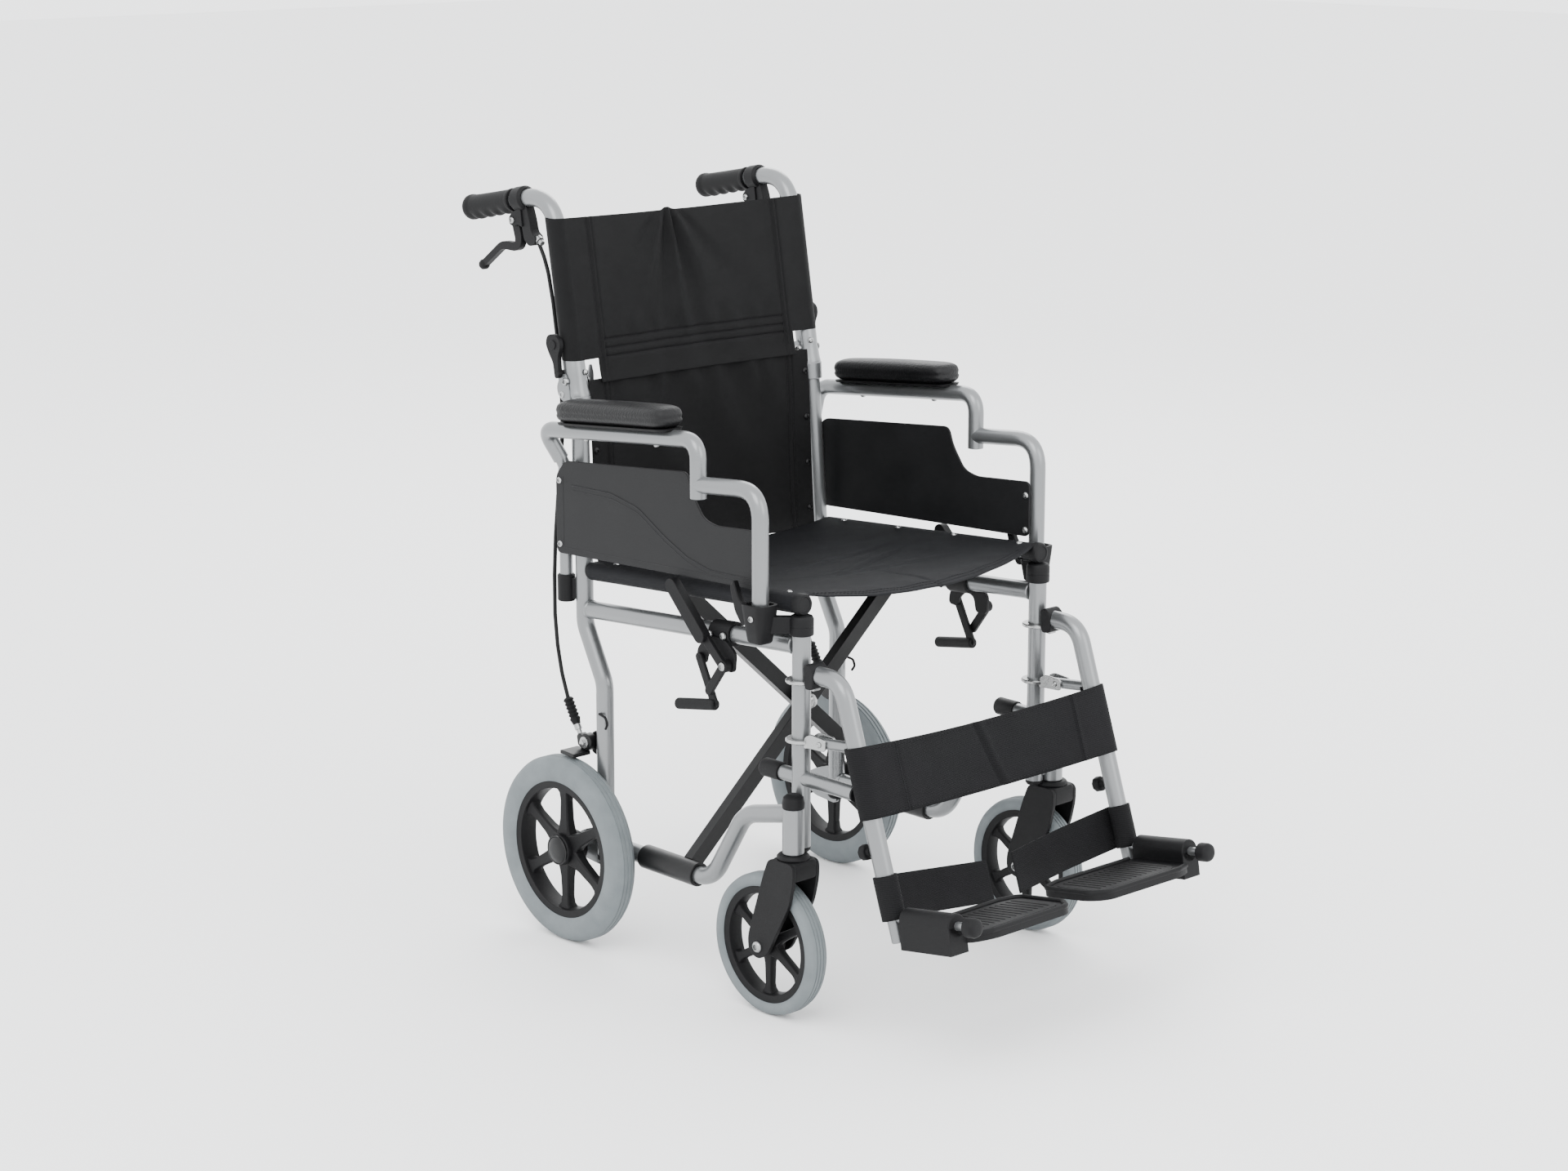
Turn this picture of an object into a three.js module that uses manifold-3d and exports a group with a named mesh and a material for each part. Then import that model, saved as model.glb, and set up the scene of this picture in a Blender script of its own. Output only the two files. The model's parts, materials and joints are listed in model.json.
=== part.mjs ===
// Attendant-propelled folding wheelchair, in millimetres, +Z up, front towards -Y.
// The origin is on the floor under the middle of the chair. "Right" is the seated person's right, -X.
import * as THREE from 'three';
import { mergeVertices } from 'three/addons/utils/BufferGeometryUtils.js';
import Module from 'manifold-3d';

const wasm = await Module();
wasm.setup();

// ---------------------------------------------------------------- driving dimensions
const GAP = 0.3; // clearance between touching pieces
const RUNNING = 0.45; // radial clearance of a pin or sleeve that turns
const HALF = 200; // middle of the chair to the frame tubes
const BACK_HALF = 195; // middle of the chair to the back tubes
const TUBE_R = 11;
const ARM_TUBE_R = 10;
const ARM_LEG_R = 8;
const ARM_LEG = [210, 262]; // (x, y) of the armrest's rear leg
const ARM_LEG_TOP = 604;
const SEAT_RAIL_R = 9.5;
const ROUND = 10; // sides of a tube's section
const WHEEL_SIDES = 30;

const POST_Y = -155;
const POST_FOOT_Z = 207;
const POST_TOP_Z = 472;
const LOWER_RAIL_Z = 128;
const REAR_POST_Y = 238.5;

const HINGE_Y = 256; // back half-fold hinge
const HINGE_Z = 708;
const BACK_TOP = [BACK_HALF, 294, 934]; // where the back tube and the handle line meet
const GRIP_END = [BACK_HALF, 461, 903.4];

const REAR_WHEEL = { x: 232, y: 241, r: 119, half: 17, seat: 86.7, hub: 20, bore: 6.4, spokes: 6 };
const CASTOR = { x: 222, y: -126, r: 86, half: 14, seat: 70, hub: 13, bore: 4.45, spokes: 6 };
const CASTOR_STEM_Y = -165;

const BRACE_PIN_Z = 306.5;
const SEAT_RAIL = { front: -156, rear: 222, zAtRear: 474.4, slope: 0.063 };
const BRACE_TOP_Z = 485;

const ARM_X = 233;
const ARM_SLOPE = Math.atan((675 - 650) / (273 + 14));
const FOOT_PIVOT = [HALF, -372, 168];
const FOOT_PITCH = THREE.MathUtils.degToRad(9);
const HANGER_BEND = [HALF, -222.5, 419];
const HANGER_END = [HALF, -300.7, 185];
const STRAP_THICKNESS = 3;

// ---------------------------------------------------------------- finishes
const FINISHES = {
  silver: { color: 0xb4b8bb, roughness: 0.36, metalness: 0.75 },
  zinc: { color: 0xd0d2d3, roughness: 0.3, metalness: 0.9 },
  plastic: { color: 0x232426, roughness: 0.55, metalness: 0 },
  enamel: { color: 0x1b1b1d, roughness: 0.35, metalness: 0.2 },
  guard: { color: 0x37383a, roughness: 0.6, metalness: 0 },
  nylon: { color: 0x26272a, roughness: 0.9, metalness: 0 },
  vinyl: { color: 0x202124, roughness: 0.65, metalness: 0 },
  tyre: { color: 0x7c8688, roughness: 0.8, metalness: 0 },
};

// ---------------------------------------------------------------- solids
function solid(geometry) {
  const bare = geometry.clone();
  bare.deleteAttribute('normal');
  bare.deleteAttribute('uv');
  const merged = mergeVertices(bare, 1e-3);
  const corners = new Uint32Array(merged.index.array);
  const meshOf = () => new wasm.Mesh({
    numProp: 3,
    vertProperties: new Float32Array(merged.attributes.position.array),
    triVerts: corners,
  });
  const body = new wasm.Manifold(meshOf());
  if (body.volume() > 0) {
    return body;
  }
  for (let i = 0; i < corners.length; i += 3) {
    [corners[i], corners[i + 1]] = [corners[i + 1], corners[i]];
  }
  return new wasm.Manifold(meshOf());
}

function union(...bodies) {
  return bodies.reduce((sum, next) => sum.add(next));
}

function block(size, at, turn = [0, 0, 0]) {
  const box = new THREE.BoxGeometry(...size);
  const pose = new THREE.Matrix4().makeRotationFromEuler(new THREE.Euler(...turn));
  box.applyMatrix4(pose.setPosition(...at));
  return solid(box);
}

function rod(from, to, radius, sides = ROUND) {
  const start = new THREE.Vector3(...from);
  const run = new THREE.Vector3(...to).sub(start);
  const bar = new THREE.CylinderGeometry(radius, radius, run.length(), sides);
  const turn = new THREE.Quaternion().setFromUnitVectors(
    new THREE.Vector3(0, 1, 0),
    run.clone().normalize(),
  );
  bar.applyQuaternion(turn);
  bar.translate(...start.addScaledVector(run, 0.5).toArray());
  return solid(bar);
}

// A cutter for a hole: its flats, not its corners, lie at the given radius.
function hole(from, to, radius, sides = 12) {
  return rod(from, to, radius / Math.cos(Math.PI / sides), sides);
}

function ring(from, to, outer, inner, sides = 12) {
  const start = new THREE.Vector3(...from);
  const run = new THREE.Vector3(...to).sub(start).normalize();
  const before = start.clone().addScaledVector(run, -1).toArray();
  const after = new THREE.Vector3(...to).addScaledVector(run, 1).toArray();
  return rod(from, to, outer, sides).subtract(hole(before, after, inner, sides));
}

// A path of straight runs joined by round bends, sampled only where it bends.
class BentPath extends THREE.Curve {
  constructor(points, bend, bendSteps = 4) {
    super();
    const corners = points.map((p) => new THREE.Vector3(...p));
    this.stations = [corners[0]];
    for (let i = 1; i < corners.length - 1; i += 1) {
      const corner = corners[i];
      const back = corners[i - 1].clone().sub(corner);
      const ahead = corners[i + 1].clone().sub(corner);
      const half = back.angleTo(ahead) / 2;
      const wanted = bend / Math.tan(half);
      const reach = Math.min(wanted, back.length() * 0.49, ahead.length() * 0.49);
      const start = corner.clone().addScaledVector(back.normalize(), reach);
      const end = corner.clone().addScaledVector(ahead.normalize(), reach);
      const arc = new THREE.QuadraticBezierCurve3(start, corner, end);
      this.stations.push(...arc.getPoints(bendSteps));
    }
    this.stations.push(corners.at(-1));
    this.steps = this.stations.length - 1;
  }

  getPoint(t) {
    const place = t * this.steps;
    const index = Math.min(Math.floor(place), this.steps - 1);
    return this.stations[index].clone().lerp(this.stations[index + 1], place - index);
  }

  getPointAt(u) {
    return this.getPoint(u);
  }

  getTangentAt(u) {
    const index = Math.round(u * this.steps);
    const before = this.stations[Math.max(index - 1, 0)];
    const after = this.stations[Math.min(index + 1, this.steps)];
    return after.clone().sub(before).normalize();
  }
}

function tube(points, radius, bend = 30, sides = ROUND, bendSteps = 4) {
  const path = new BentPath(points, bend, bendSteps);
  const section = new THREE.Shape().absarc(0, 0, radius, 0, 2 * Math.PI);
  return solid(new THREE.ExtrudeGeometry(section, {
    steps: path.steps,
    extrudePath: path,
    curveSegments: sides / 2,
  }));
}

// A closed outline whose corners are rounded by the given radius.
function outline(points, radius = 0) {
  const shape = new THREE.Shape();
  const count = points.length;
  points.forEach(([x, y], i) => {
    const corner = new THREE.Vector2(x, y);
    const back = new THREE.Vector2(...points[(i + count - 1) % count]).sub(corner);
    const ahead = new THREE.Vector2(...points[(i + 1) % count]).sub(corner);
    const reach = Math.min(radius, back.length() * 0.45, ahead.length() * 0.45);
    const start = corner.clone().addScaledVector(back.normalize(), reach);
    const end = corner.clone().addScaledVector(ahead.normalize(), reach);
    if (i === 0) {
      shape.moveTo(start.x, start.y);
    } else {
      shape.lineTo(start.x, start.y);
    }
    if (reach > 0) {
      shape.quadraticCurveTo(x, y, end.x, end.y);
    }
  });
  return shape;
}

function extruded(shape, depth, curveSegments = 4) {
  return new THREE.ExtrudeGeometry(shape, { depth, bevelEnabled: false, curveSegments });
}

// A flat plate across X: its outline is in (y, z) and it spans x0 to x1.
function plateX(points, x0, x1, radius = 0) {
  const plate = extruded(outline(points, radius), Math.abs(x1 - x0));
  const axes = new THREE.Matrix4().makeBasis(
    new THREE.Vector3(0, 1, 0),
    new THREE.Vector3(0, 0, 1),
    new THREE.Vector3(1, 0, 0),
  );
  plate.applyMatrix4(axes);
  plate.translate(Math.min(x0, x1), 0, 0);
  return solid(plate);
}

// A flat plate across Z: its outline is in (x, y) and it spans z0 to z1.
function plateZ(points, z0, z1, radius = 0) {
  const plate = extruded(outline(points, radius), z1 - z0);
  plate.translate(0, 0, z0);
  return solid(plate);
}

// A bar of the given width and thickness whose round ends sit on two points in the (y, z) plane.
function link(from, to, width, x0, x1) {
  const dy = to[0] - from[0];
  const dz = to[1] - from[1];
  const angle = Math.atan2(dz, dy);
  const middle = [(x0 + x1) / 2, (from[0] + to[0]) / 2, (from[1] + to[1]) / 2];
  return union(
    block([Math.abs(x1 - x0), Math.hypot(dy, dz), width], middle, [angle, 0, 0]),
    rod([x0, ...from], [x1, ...from], width / 2),
    rod([x0, ...to], [x1, ...to], width / 2),
  );
}

// A solid of revolution about the X axis from a closed profile of [radius, x] points.
function turned(profile, segments) {
  const points = [...profile, profile[0]].map(([r, x]) => new THREE.Vector2(r, x));
  const shape = new THREE.LatheGeometry(points, segments);
  shape.rotateZ(-Math.PI / 2);
  return solid(shape);
}

// ---------------------------------------------------------------- building the scene
const wheelchair = new THREE.Group();
wheelchair.name = 'manual_wheelchair';

function add(name, body, finish, { at = [0, 0, 0], turn = [0, 0, 0], parent = wheelchair } = {}) {
  const result = body.getMesh();
  const geometry = new THREE.BufferGeometry();
  geometry.setAttribute('position', new THREE.BufferAttribute(result.vertProperties, 3));
  geometry.setIndex(new THREE.BufferAttribute(result.triVerts, 1));
  geometry.computeVertexNormals();
  const mesh = new THREE.Mesh(geometry, new THREE.MeshStandardMaterial(FINISHES[finish]));
  mesh.name = name;
  mesh.position.set(...at);
  mesh.rotation.set(...turn);
  parent.add(mesh);
  return mesh;
}

const SIDES = [
  { sign: -1, label: 'right' },
  { sign: 1, label: 'left' },
];

function mirrored(sign, points) {
  return points.map(([x, ...rest]) => [sign * x, ...rest]);
}

function seatRailZ(y) {
  return SEAT_RAIL.zAtRear + (SEAT_RAIL.rear - y) * SEAT_RAIL.slope;
}

// A point on the leaning back tube, sideways offset x, at height z.
function onBackTube(sign, z) {
  const lean = (BACK_TOP[1] - HINGE_Y) / (BACK_TOP[2] - HINGE_Z);
  return [sign * BACK_HALF, HINGE_Y + (z - HINGE_Z) * lean, z];
}

// ---------------------------------------------------------------- welded side frame
function frontPostTube(sign, radius) {
  const x = sign * HALF;
  return rod([x, POST_Y, POST_FOOT_Z], [x, POST_Y, POST_TOP_Z], radius);
}

const REAR_POST_PATH = [
  [HALF, 203, 112],
  [HALF, 202, 335],
  [HALF, REAR_POST_Y, 405],
  [HALF, REAR_POST_Y, 480],
  [BACK_HALF, 250, 690],
];

function rearPostTube(sign, radius) {
  return tube(mirrored(sign, REAR_POST_PATH), radius, 40);
}

function frontPost(sign) {
  const x = sign * HALF;
  const stemX = sign * CASTOR.x;
  const stemTop = 276;
  const weldTurn = sign * Math.atan2(CASTOR_STEM_Y - POST_Y, CASTOR.x - HALF);
  const housing = rod([stemX, CASTOR_STEM_Y, 206], [stemX, CASTOR_STEM_Y, stemTop], 13);
  const weld = block([14, 10, 44], [(x + stemX) / 2, (POST_Y + CASTOR_STEM_Y) / 2, 236], [0, 0, weldTurn]);
  const stub = rod([x, -98, 291], [x, -246, 291], 9);
  const bore = hole([stemX, CASTOR_STEM_Y, 200], [stemX, CASTOR_STEM_Y, 258], 6.4);
  return union(frontPostTube(sign, TUBE_R), housing, weld, stub).subtract(bore);
}

function rearPost(sign) {
  const [inner, outer] = [sign * (HALF - 3), sign * (HALF + 3)];
  const axleOutline = [[200, 96], [244, 100], [258, 112], [258, 128], [240, 138], [200, 150]];
  const axlePlate = plateX(axleOutline, inner, outer, 6);
  const { y, r } = REAR_WHEEL;
  const boss = rod([sign * (HALF - 6), y, r], [sign * 214.5, y, r], 10);
  const axle = rod([sign * 210, y, r], [sign * 245, y, r], 6);
  const brakeOutline = [[206, 236], [228, 240], [236, 256], [226, 268], [206, 274]];
  const brakePlate = plateX(brakeOutline, sign * 196, sign * 200, 4);
  const brakePin = rod([sign * 197, 226, 256], [sign * 216, 226, 256], 3);
  const legX = sign * ARM_LEG[0];
  const sleeve = rod([legX, ARM_LEG[1], 432], [legX, ARM_LEG[1], 466], 10.8, 12);
  const web = block([8, 10, 26], [sign * 205.5, 250.5, 449], [0, 0, sign * -0.4]);
  const clear = hole([legX, ARM_LEG[1], 431], [legX, ARM_LEG[1], 467], ARM_LEG_R + RUNNING);
  return union(rearPostTube(sign, TUBE_R), axlePlate, boss, axle, brakePlate, brakePin, sleeve, web)
    .subtract(clear);
}

function upperSideRail(sign) {
  const x = sign * HALF;
  return rod([x, REAR_POST_Y, 423.8], [x, POST_Y, 449.5], TUBE_R)
    .subtract(frontPostTube(sign, TUBE_R + GAP))
    .subtract(rearPostTube(sign, TUBE_R + GAP));
}

function lowerSideRail(sign) {
  const path = [[HALF, 203, LOWER_RAIL_Z], [HALF, 2, LOWER_RAIL_Z], [HALF, -58, 225], [HALF, POST_Y, 246]];
  return tube(mirrored(sign, path), TUBE_R, 34)
    .subtract(frontPostTube(sign, TUBE_R + GAP))
    .subtract(rearPostTube(sign, TUBE_R + GAP));
}

function backHingeBracket(sign) {
  const cheek = [[243, 676], [290, 678], [292, 700], [276, 730], [244, 730]];
  const cheeks = [-1, 1].map((face) => {
    const near = sign * BACK_HALF + face * 12.2;
    return plateX(cheek, near, near + face * 3, 6);
  });
  const sleeve = ring([sign * 195.5, 249, 672], [sign * 195, 250, 689.6], 14.6, TUBE_R + GAP);
  const pin = rod([sign * BACK_HALF - 16, HINGE_Y, HINGE_Z], [sign * BACK_HALF + 16, HINGE_Y, HINGE_Z], 4);
  return union(...cheeks, sleeve, pin).subtract(rearPostTube(sign, TUBE_R + GAP));
}

// ---------------------------------------------------------------- folding back and handle
const HANDLE_PATH = [[BACK_HALF, HINGE_Y - 0.8, HINGE_Z - 5], BACK_TOP, GRIP_END];
const HANDLE_DIRECTION = new THREE.Vector3(...GRIP_END).sub(new THREE.Vector3(...BACK_TOP)).normalize();

// A point on the handle line, the given distance forward of the grip's end.
function onHandle(sign, distance) {
  const [, y, z] = new THREE.Vector3(...GRIP_END).addScaledVector(HANDLE_DIRECTION, -distance).toArray();
  return [sign * BACK_HALF, y, z];
}

function backTube(sign) {
  const path = [...HANDLE_PATH.slice(0, 2), onHandle(1, 8)];
  const bore = hole([sign * 170, HINGE_Y, HINGE_Z], [sign * 220, HINGE_Y, HINGE_Z], 4 + RUNNING);
  return tube(mirrored(sign, path), TUBE_R, 46, ROUND, 5).subtract(bore);
}

function handGrip(sign) {
  const sleeve = rod(onHandle(sign, 0), onHandle(sign, 92), 14.5, 12);
  return sleeve.subtract(hole(onHandle(sign, 6), onHandle(sign, 100), TUBE_R + GAP, 12));
}

const LEVER_PIVOT = [366, 896];

function brakeLeverMount(sign) {
  const clamp = ring(onHandle(sign, 97), onHandle(sign, 119), 15.5, TUBE_R + GAP);
  const x = sign * BACK_HALF;
  const arm = plateX([[352, 908], [337, 909], [329, 874], [340, 867], [350, 878]], x - 7, x + 7, 3);
  const cheeks = [-1, 1].map((face) => {
    const near = x + face * 5.5;
    return plateX([[348, 908], [364, 904], [374, 896], [368, 887], [348, 888]], near, near + face * 3, 4);
  });
  const pin = rod([x - 8, ...LEVER_PIVOT], [x + 8, ...LEVER_PIVOT], 2.2, 10);
  return union(clamp, arm, ...cheeks, pin)
    .subtract(hole(onHandle(sign, 95), onHandle(sign, 121), TUBE_R + GAP, 12));
}

function brakeLever(sign) {
  const x = sign * BACK_HALF;
  const blade = [[361, 898], [366, 889], [373, 893], [377, 880], [392, 866], [425, 846], [438, 828],
    [426, 831], [396, 845], [372, 856], [352, 863], [354, 874], [358, 884]];
  const body = union(
    plateX(blade, x - 5, x + 5, 3),
    rod([x - 5, ...LEVER_PIVOT], [x + 5, ...LEVER_PIVOT], 6.5),
    rod([x - 5.5, 434, 834], [x + 5.5, 434, 834], 7),
  );
  return body.subtract(hole([x - 9, ...LEVER_PIVOT], [x + 9, ...LEVER_PIVOT], 2.2 + RUNNING, 10));
}

// The brake cable's route from the lever's adjuster to the tyre brake, held close behind the back.
const CABLE_ROUTE = [
  [195, 324, 870], [195, 315, 856], [194, 308, 836], [192, 302, 800], [190, 298, 760], [188, 296, 720],
  [188, 293, 680], [190, 290, 640], [196, 287, 600], [202, 286, 560], [206, 287, 510], [208, 288, 460],
  [209, 287, 410], [209, 283, 370], [209, 275, 335], [209, 263, 303],
];
const CABLE_BOOT_END = [209, 247, 275];

function brakeCable(sign) {
  const route = mirrored(sign, CABLE_ROUTE);
  const bootStart = [sign * 209, 264.5, 306];
  const bootEnd = [sign * CABLE_BOOT_END[0], ...CABLE_BOOT_END.slice(1)];
  const tip = [bootEnd[0], bootEnd[1] - 3.5, bootEnd[2] - 6];
  return union(tube(route, 2.5, 60, 8, 2), rod(bootStart, bootEnd, 6.5, 12), rod(bootEnd, tip, 4.5, 10));
}

function tyreBrakeArm(sign) {
  const { x, y, r } = REAR_WHEEL;
  const cam = rod([sign * 201, 226, 256], [sign * 214, 226, 256], 12);
  const tabOutline = [[226, 262], [238, 266], [242, 262], [240, 250], [228, 246]];
  const tab = plateX(tabOutline, sign * 203, sign * 214, 2);
  const shoe = plateX([[222, 242], [248, 242], [248, 254], [222, 258]], sign * 206, sign * 236, 3);
  const tread = hole([sign * 190, y, r], [sign * (x + 30), y, r], r + 3, 60);
  const bore = hole([sign * 190, 226, 256], [sign * 225, 226, 256], 3 + RUNNING, 12);
  return union(cam, tab, shoe).subtract(tread).subtract(bore);
}

// ---------------------------------------------------------------- lift-out armrest
function armrestLoop(sign, radius) {
  const loop = [[214, 264, 612], [ARM_X, 273, 650], [ARM_X, -14, 675], [ARM_X, -14, 606]];
  return tube(mirrored(sign, loop), radius, 24);
}

function armrestFrame(sign) {
  const front = [[ARM_X, -14, 622], [ARM_X, -121, 631], [ARM_X, -121, 468]];
  return union(
    armrestLoop(sign, ARM_TUBE_R),
    rod([sign * ARM_LEG[0], ARM_LEG[1], 442], [sign * ARM_LEG[0], ARM_LEG[1], ARM_LEG_TOP], ARM_LEG_R),
    rod([sign * ARM_LEG[0], ARM_LEG[1], ARM_LEG_TOP - 1], [sign * 214.8, 264.4, 614], ARM_LEG_R),
    tube(mirrored(sign, front), ARM_TUBE_R, 34),
  );
}

function armPad(sign) {
  const profile = [[-106, 10.4], [-106, 27], [-96, 38], [96, 38], [106, 27], [106, 10.4]];
  const plan = [[-23, -96], [-16, -106], [16, -106], [23, -96], [23, 96], [16, 106], [-16, 106], [-23, 96]];
  return plateX(profile, -23, 23).intersect(plateZ(plan, 0, 50));
}

const GUARD_OUTLINE = [[266, 494], [266, 592], [248, 612], [20, 631], [12, 608], [-8, 580], [-30, 574],
  [-121, 580], [-121, 510]];

function skirtGuard(sign) {
  return plateX(GUARD_OUTLINE, sign * 218.4, sign * 221.2, 7)
    .subtract(armrestLoop(sign, ARM_TUBE_R + 0.5));
}

function armrestSocket(sign) {
  const x = sign * HALF;
  const cupX = sign * ARM_X;
  const cap = rod([x, POST_Y, POST_TOP_Z - 10], [x, POST_Y, 486], 14.4, 12);
  const cup = rod([cupX, -121, 460], [cupX, -121, 497], 15, 12);
  const web = block([42, 13, 20], [(x + cupX) / 2, (POST_Y - 121) / 2, 474], [0, 0, sign * Math.PI / 4]);
  return union(cap, web, cup)
    .subtract(hole([x, POST_Y, POST_TOP_Z - 30], [x, POST_Y, POST_TOP_Z + GAP], TUBE_R + GAP, 12))
    .subtract(hole([cupX, -121, 466], [cupX, -121, 500], ARM_TUBE_R + RUNNING, 12));
}

// ---------------------------------------------------------------- swing-away footrest
function footrestHanger(sign) {
  const x = sign * HALF;
  const latch = (z) => ring([x, POST_Y, z - 3], [x, POST_Y, z + 3], 20, TUBE_R + 0.6, 16);
  const arm = tube(mirrored(sign, [[HALF, -172, 419], HANGER_BEND, HANGER_END]), TUBE_R, 46, ROUND, 5);
  const strut = rod([x, -170, 337], [x, -243, 345], 6.5);
  const bore = hole([x, -270.6, 275], [x, -308, 163], 9.15);
  const clear = hole([x, POST_Y, 320], [x, POST_Y, 440], TUBE_R + 0.6, 16);
  return union(arm, latch(408), latch(337), strut).subtract(bore).subtract(clear);
}

function footrestExtension(sign) {
  const x = sign * HALF;
  const [, y, z] = FOOT_PIVOT;
  const along = [Math.cos(FOOT_PITCH), Math.sin(FOOT_PITCH)];
  const onPin = (distance) => [x, y - distance * along[0], z + distance * along[1]];
  return union(
    rod([x, -275, 261.8], [x, -318.8, 131], 8.7),
    rod(onPin(-64), onPin(60), 5, 12),
    rod(onPin(60), onPin(79), 11, 12),
  );
}

function footplate(sign) {
  const block1 = block([28, 80, 33], [0, 2, -16.5]);
  const barrel = rod([0, -38, 0], [0, 42, 0], 14, 12);
  const plan = [[-8, 46], [-150, 48], [-181, 38], [-181, -34], [-168, -54], [-40, -56], [-8, -44]];
  const plate = plateZ(plan.map(([x, y]) => [sign * x, y]), -22, -8, 10);
  return union(block1, barrel, plate).subtract(hole([0, -60, 0], [0, 60, 0], 5 + RUNNING, 12));
}

// A strap lying square to the hanger tubes: its outline is [x, distance up the tube from the tube's
// foot], and its face stands off the tube's axis, forwards when the distance is positive.
function strap(points, offset) {
  const foot = new THREE.Vector3(0, HANGER_END[1], HANGER_END[2]);
  const up = new THREE.Vector3(0, HANGER_BEND[1], HANGER_BEND[2]).sub(foot).normalize();
  const across = new THREE.Vector3(1, 0, 0);
  const forward = new THREE.Vector3().crossVectors(across, up);
  const sheet = extruded(outline(points), STRAP_THICKNESS);
  sheet.applyMatrix4(new THREE.Matrix4().makeBasis(across, up, forward));
  sheet.translate(...foot.addScaledVector(forward, offset).toArray());
  return solid(sheet);
}

function heelStrap(sign) {
  const outline = [[sign * 214, -30], [sign * 214, 21], [sign * 30, 2], [sign * 30, -48]];
  return strap(outline, -TUBE_R - 1 - STRAP_THICKNESS);
}

// ---------------------------------------------------------------- wheels
function tyre({ r, half, seat }) {
  const wall = r - seat;
  return turned([
    [seat + GAP, -half * 0.72], [seat + wall * 0.3, -half], [seat + wall * 0.65, -half],
    [r - wall * 0.12, -half * 0.74], [r, -half * 0.35], [r, half * 0.35],
    [r - wall * 0.12, half * 0.74], [seat + wall * 0.65, half], [seat + wall * 0.3, half],
    [seat + GAP, half * 0.72],
  ], WHEEL_SIDES);
}

function rim({ half, seat, hub, bore, spokes }, blind) {
  const width = half * 0.72;
  const band = turned([[seat - 9, -width], [seat, -width], [seat, width], [seat - 9, width]], WHEEL_SIDES);
  const core = rod([-half + 0.6, 0, 0], [half - 0.4, 0, 0], hub, 16);
  const arms = Array.from({ length: spokes }, (_, i) => {
    const angle = (i * 2 * Math.PI) / spokes;
    const middle = (seat - 6) / 2;
    const at = [0, middle * Math.cos(angle), middle * Math.sin(angle)];
    return block([half * 0.8, seat - 6, 13], at, [angle, 0, 0]);
  });
  const reach = blind ? [-half - 5, half - 3] : [-half - 5, half + 5];
  return union(band, core, ...arms).subtract(hole([reach[0], 0, 0], [reach[1], 0, 0], bore));
}

function castorFork(sign) {
  const x = sign * CASTOR.x;
  const legOutline = [[-187, 200], [-145, 200], [-136, 178], [-109, 96], [-110, 78], [-126, 70], [-142, 79],
    [-180, 148], [-187, 178]];
  const legs = [-1, 1].map((face) => plateX(legOutline, x + face * 16.4, x + face * 21.4, 5));
  const crown = block([42.8, 38, 24], [x, -166, 188]);
  const collar = rod([x, CASTOR_STEM_Y, 199], [x, CASTOR_STEM_Y, 205.6], 17, 12);
  const stem = rod([x, CASTOR_STEM_Y, 204], [x, CASTOR_STEM_Y, 255], 6);
  const axle = rod([x - 24, CASTOR.y, CASTOR.r], [x + 24, CASTOR.y, CASTOR.r], 4);
  return union(...legs, crown, collar, stem, axle);
}

// ---------------------------------------------------------------- parking brake
const BRAKE_PIVOT = [-47, 408];
const SHOE_PIVOT = [1, 410];
const BRAKE_KNEE = [-22, 374];

function railZ(y) {
  return 449.5 - ((y - POST_Y) * (449.5 - 423.8)) / (REAR_POST_Y - POST_Y);
}

function parkingBrakeMount(sign) {
  const x = sign * HALF;
  const rail = (from, to) => [[x, from, railZ(from)], [x, to, railZ(to)]];
  const clamp = rod(...rail(-44, -8), 15, 12);
  const arch = [[-56, 400], [-58, 424], [-40, 438], [-10, 438], [8, 420], [10, 404], [-6, 402],
    [-8, 414], [-20, 424], [-34, 420], [-38, 400]];
  const plate = plateX(arch, sign * 212, sign * 216.6, 4);
  const pins = [BRAKE_PIVOT, SHOE_PIVOT].map((pivot, i) => (
    rod([sign * 213, ...pivot], [sign * (i ? 222 : 227.5), ...pivot], 3, 12)
  ));
  return union(clamp, plate, ...pins).subtract(hole(...rail(-60, 8), TUBE_R + GAP, 12));
}

function parkingBrakeLever(sign) {
  const bar = link(BRAKE_PIVOT, [-12, 440], 12, sign * 222, sign * 227);
  const toKnee = link(BRAKE_PIVOT, BRAKE_KNEE, 11, sign * 222, sign * 227);
  const grip = link([-12, 440], [38, 492], 18, sign * 222, sign * 233);
  const hub = rod([sign * 217, ...BRAKE_PIVOT], [sign * 227, ...BRAKE_PIVOT], 7.5);
  const bore = hole([sign * 210, ...BRAKE_PIVOT], [sign * 235, ...BRAKE_PIVOT], 3 + RUNNING, 12);
  return union(bar, toKnee, grip, hub).subtract(bore);
}

function parkingBrakeShoe(sign) {
  const arm = link(SHOE_PIVOT, [-25, 358], 11, sign * 217, sign * 221.5);
  const shoe = rod([sign * 219.5, -28, 357], [sign * 222, 38, 346], 7);
  const bore = hole([sign * 210, ...SHOE_PIVOT], [sign * 235, ...SHOE_PIVOT], 3 + RUNNING, 12);
  return union(arm, shoe).subtract(bore);
}

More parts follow.
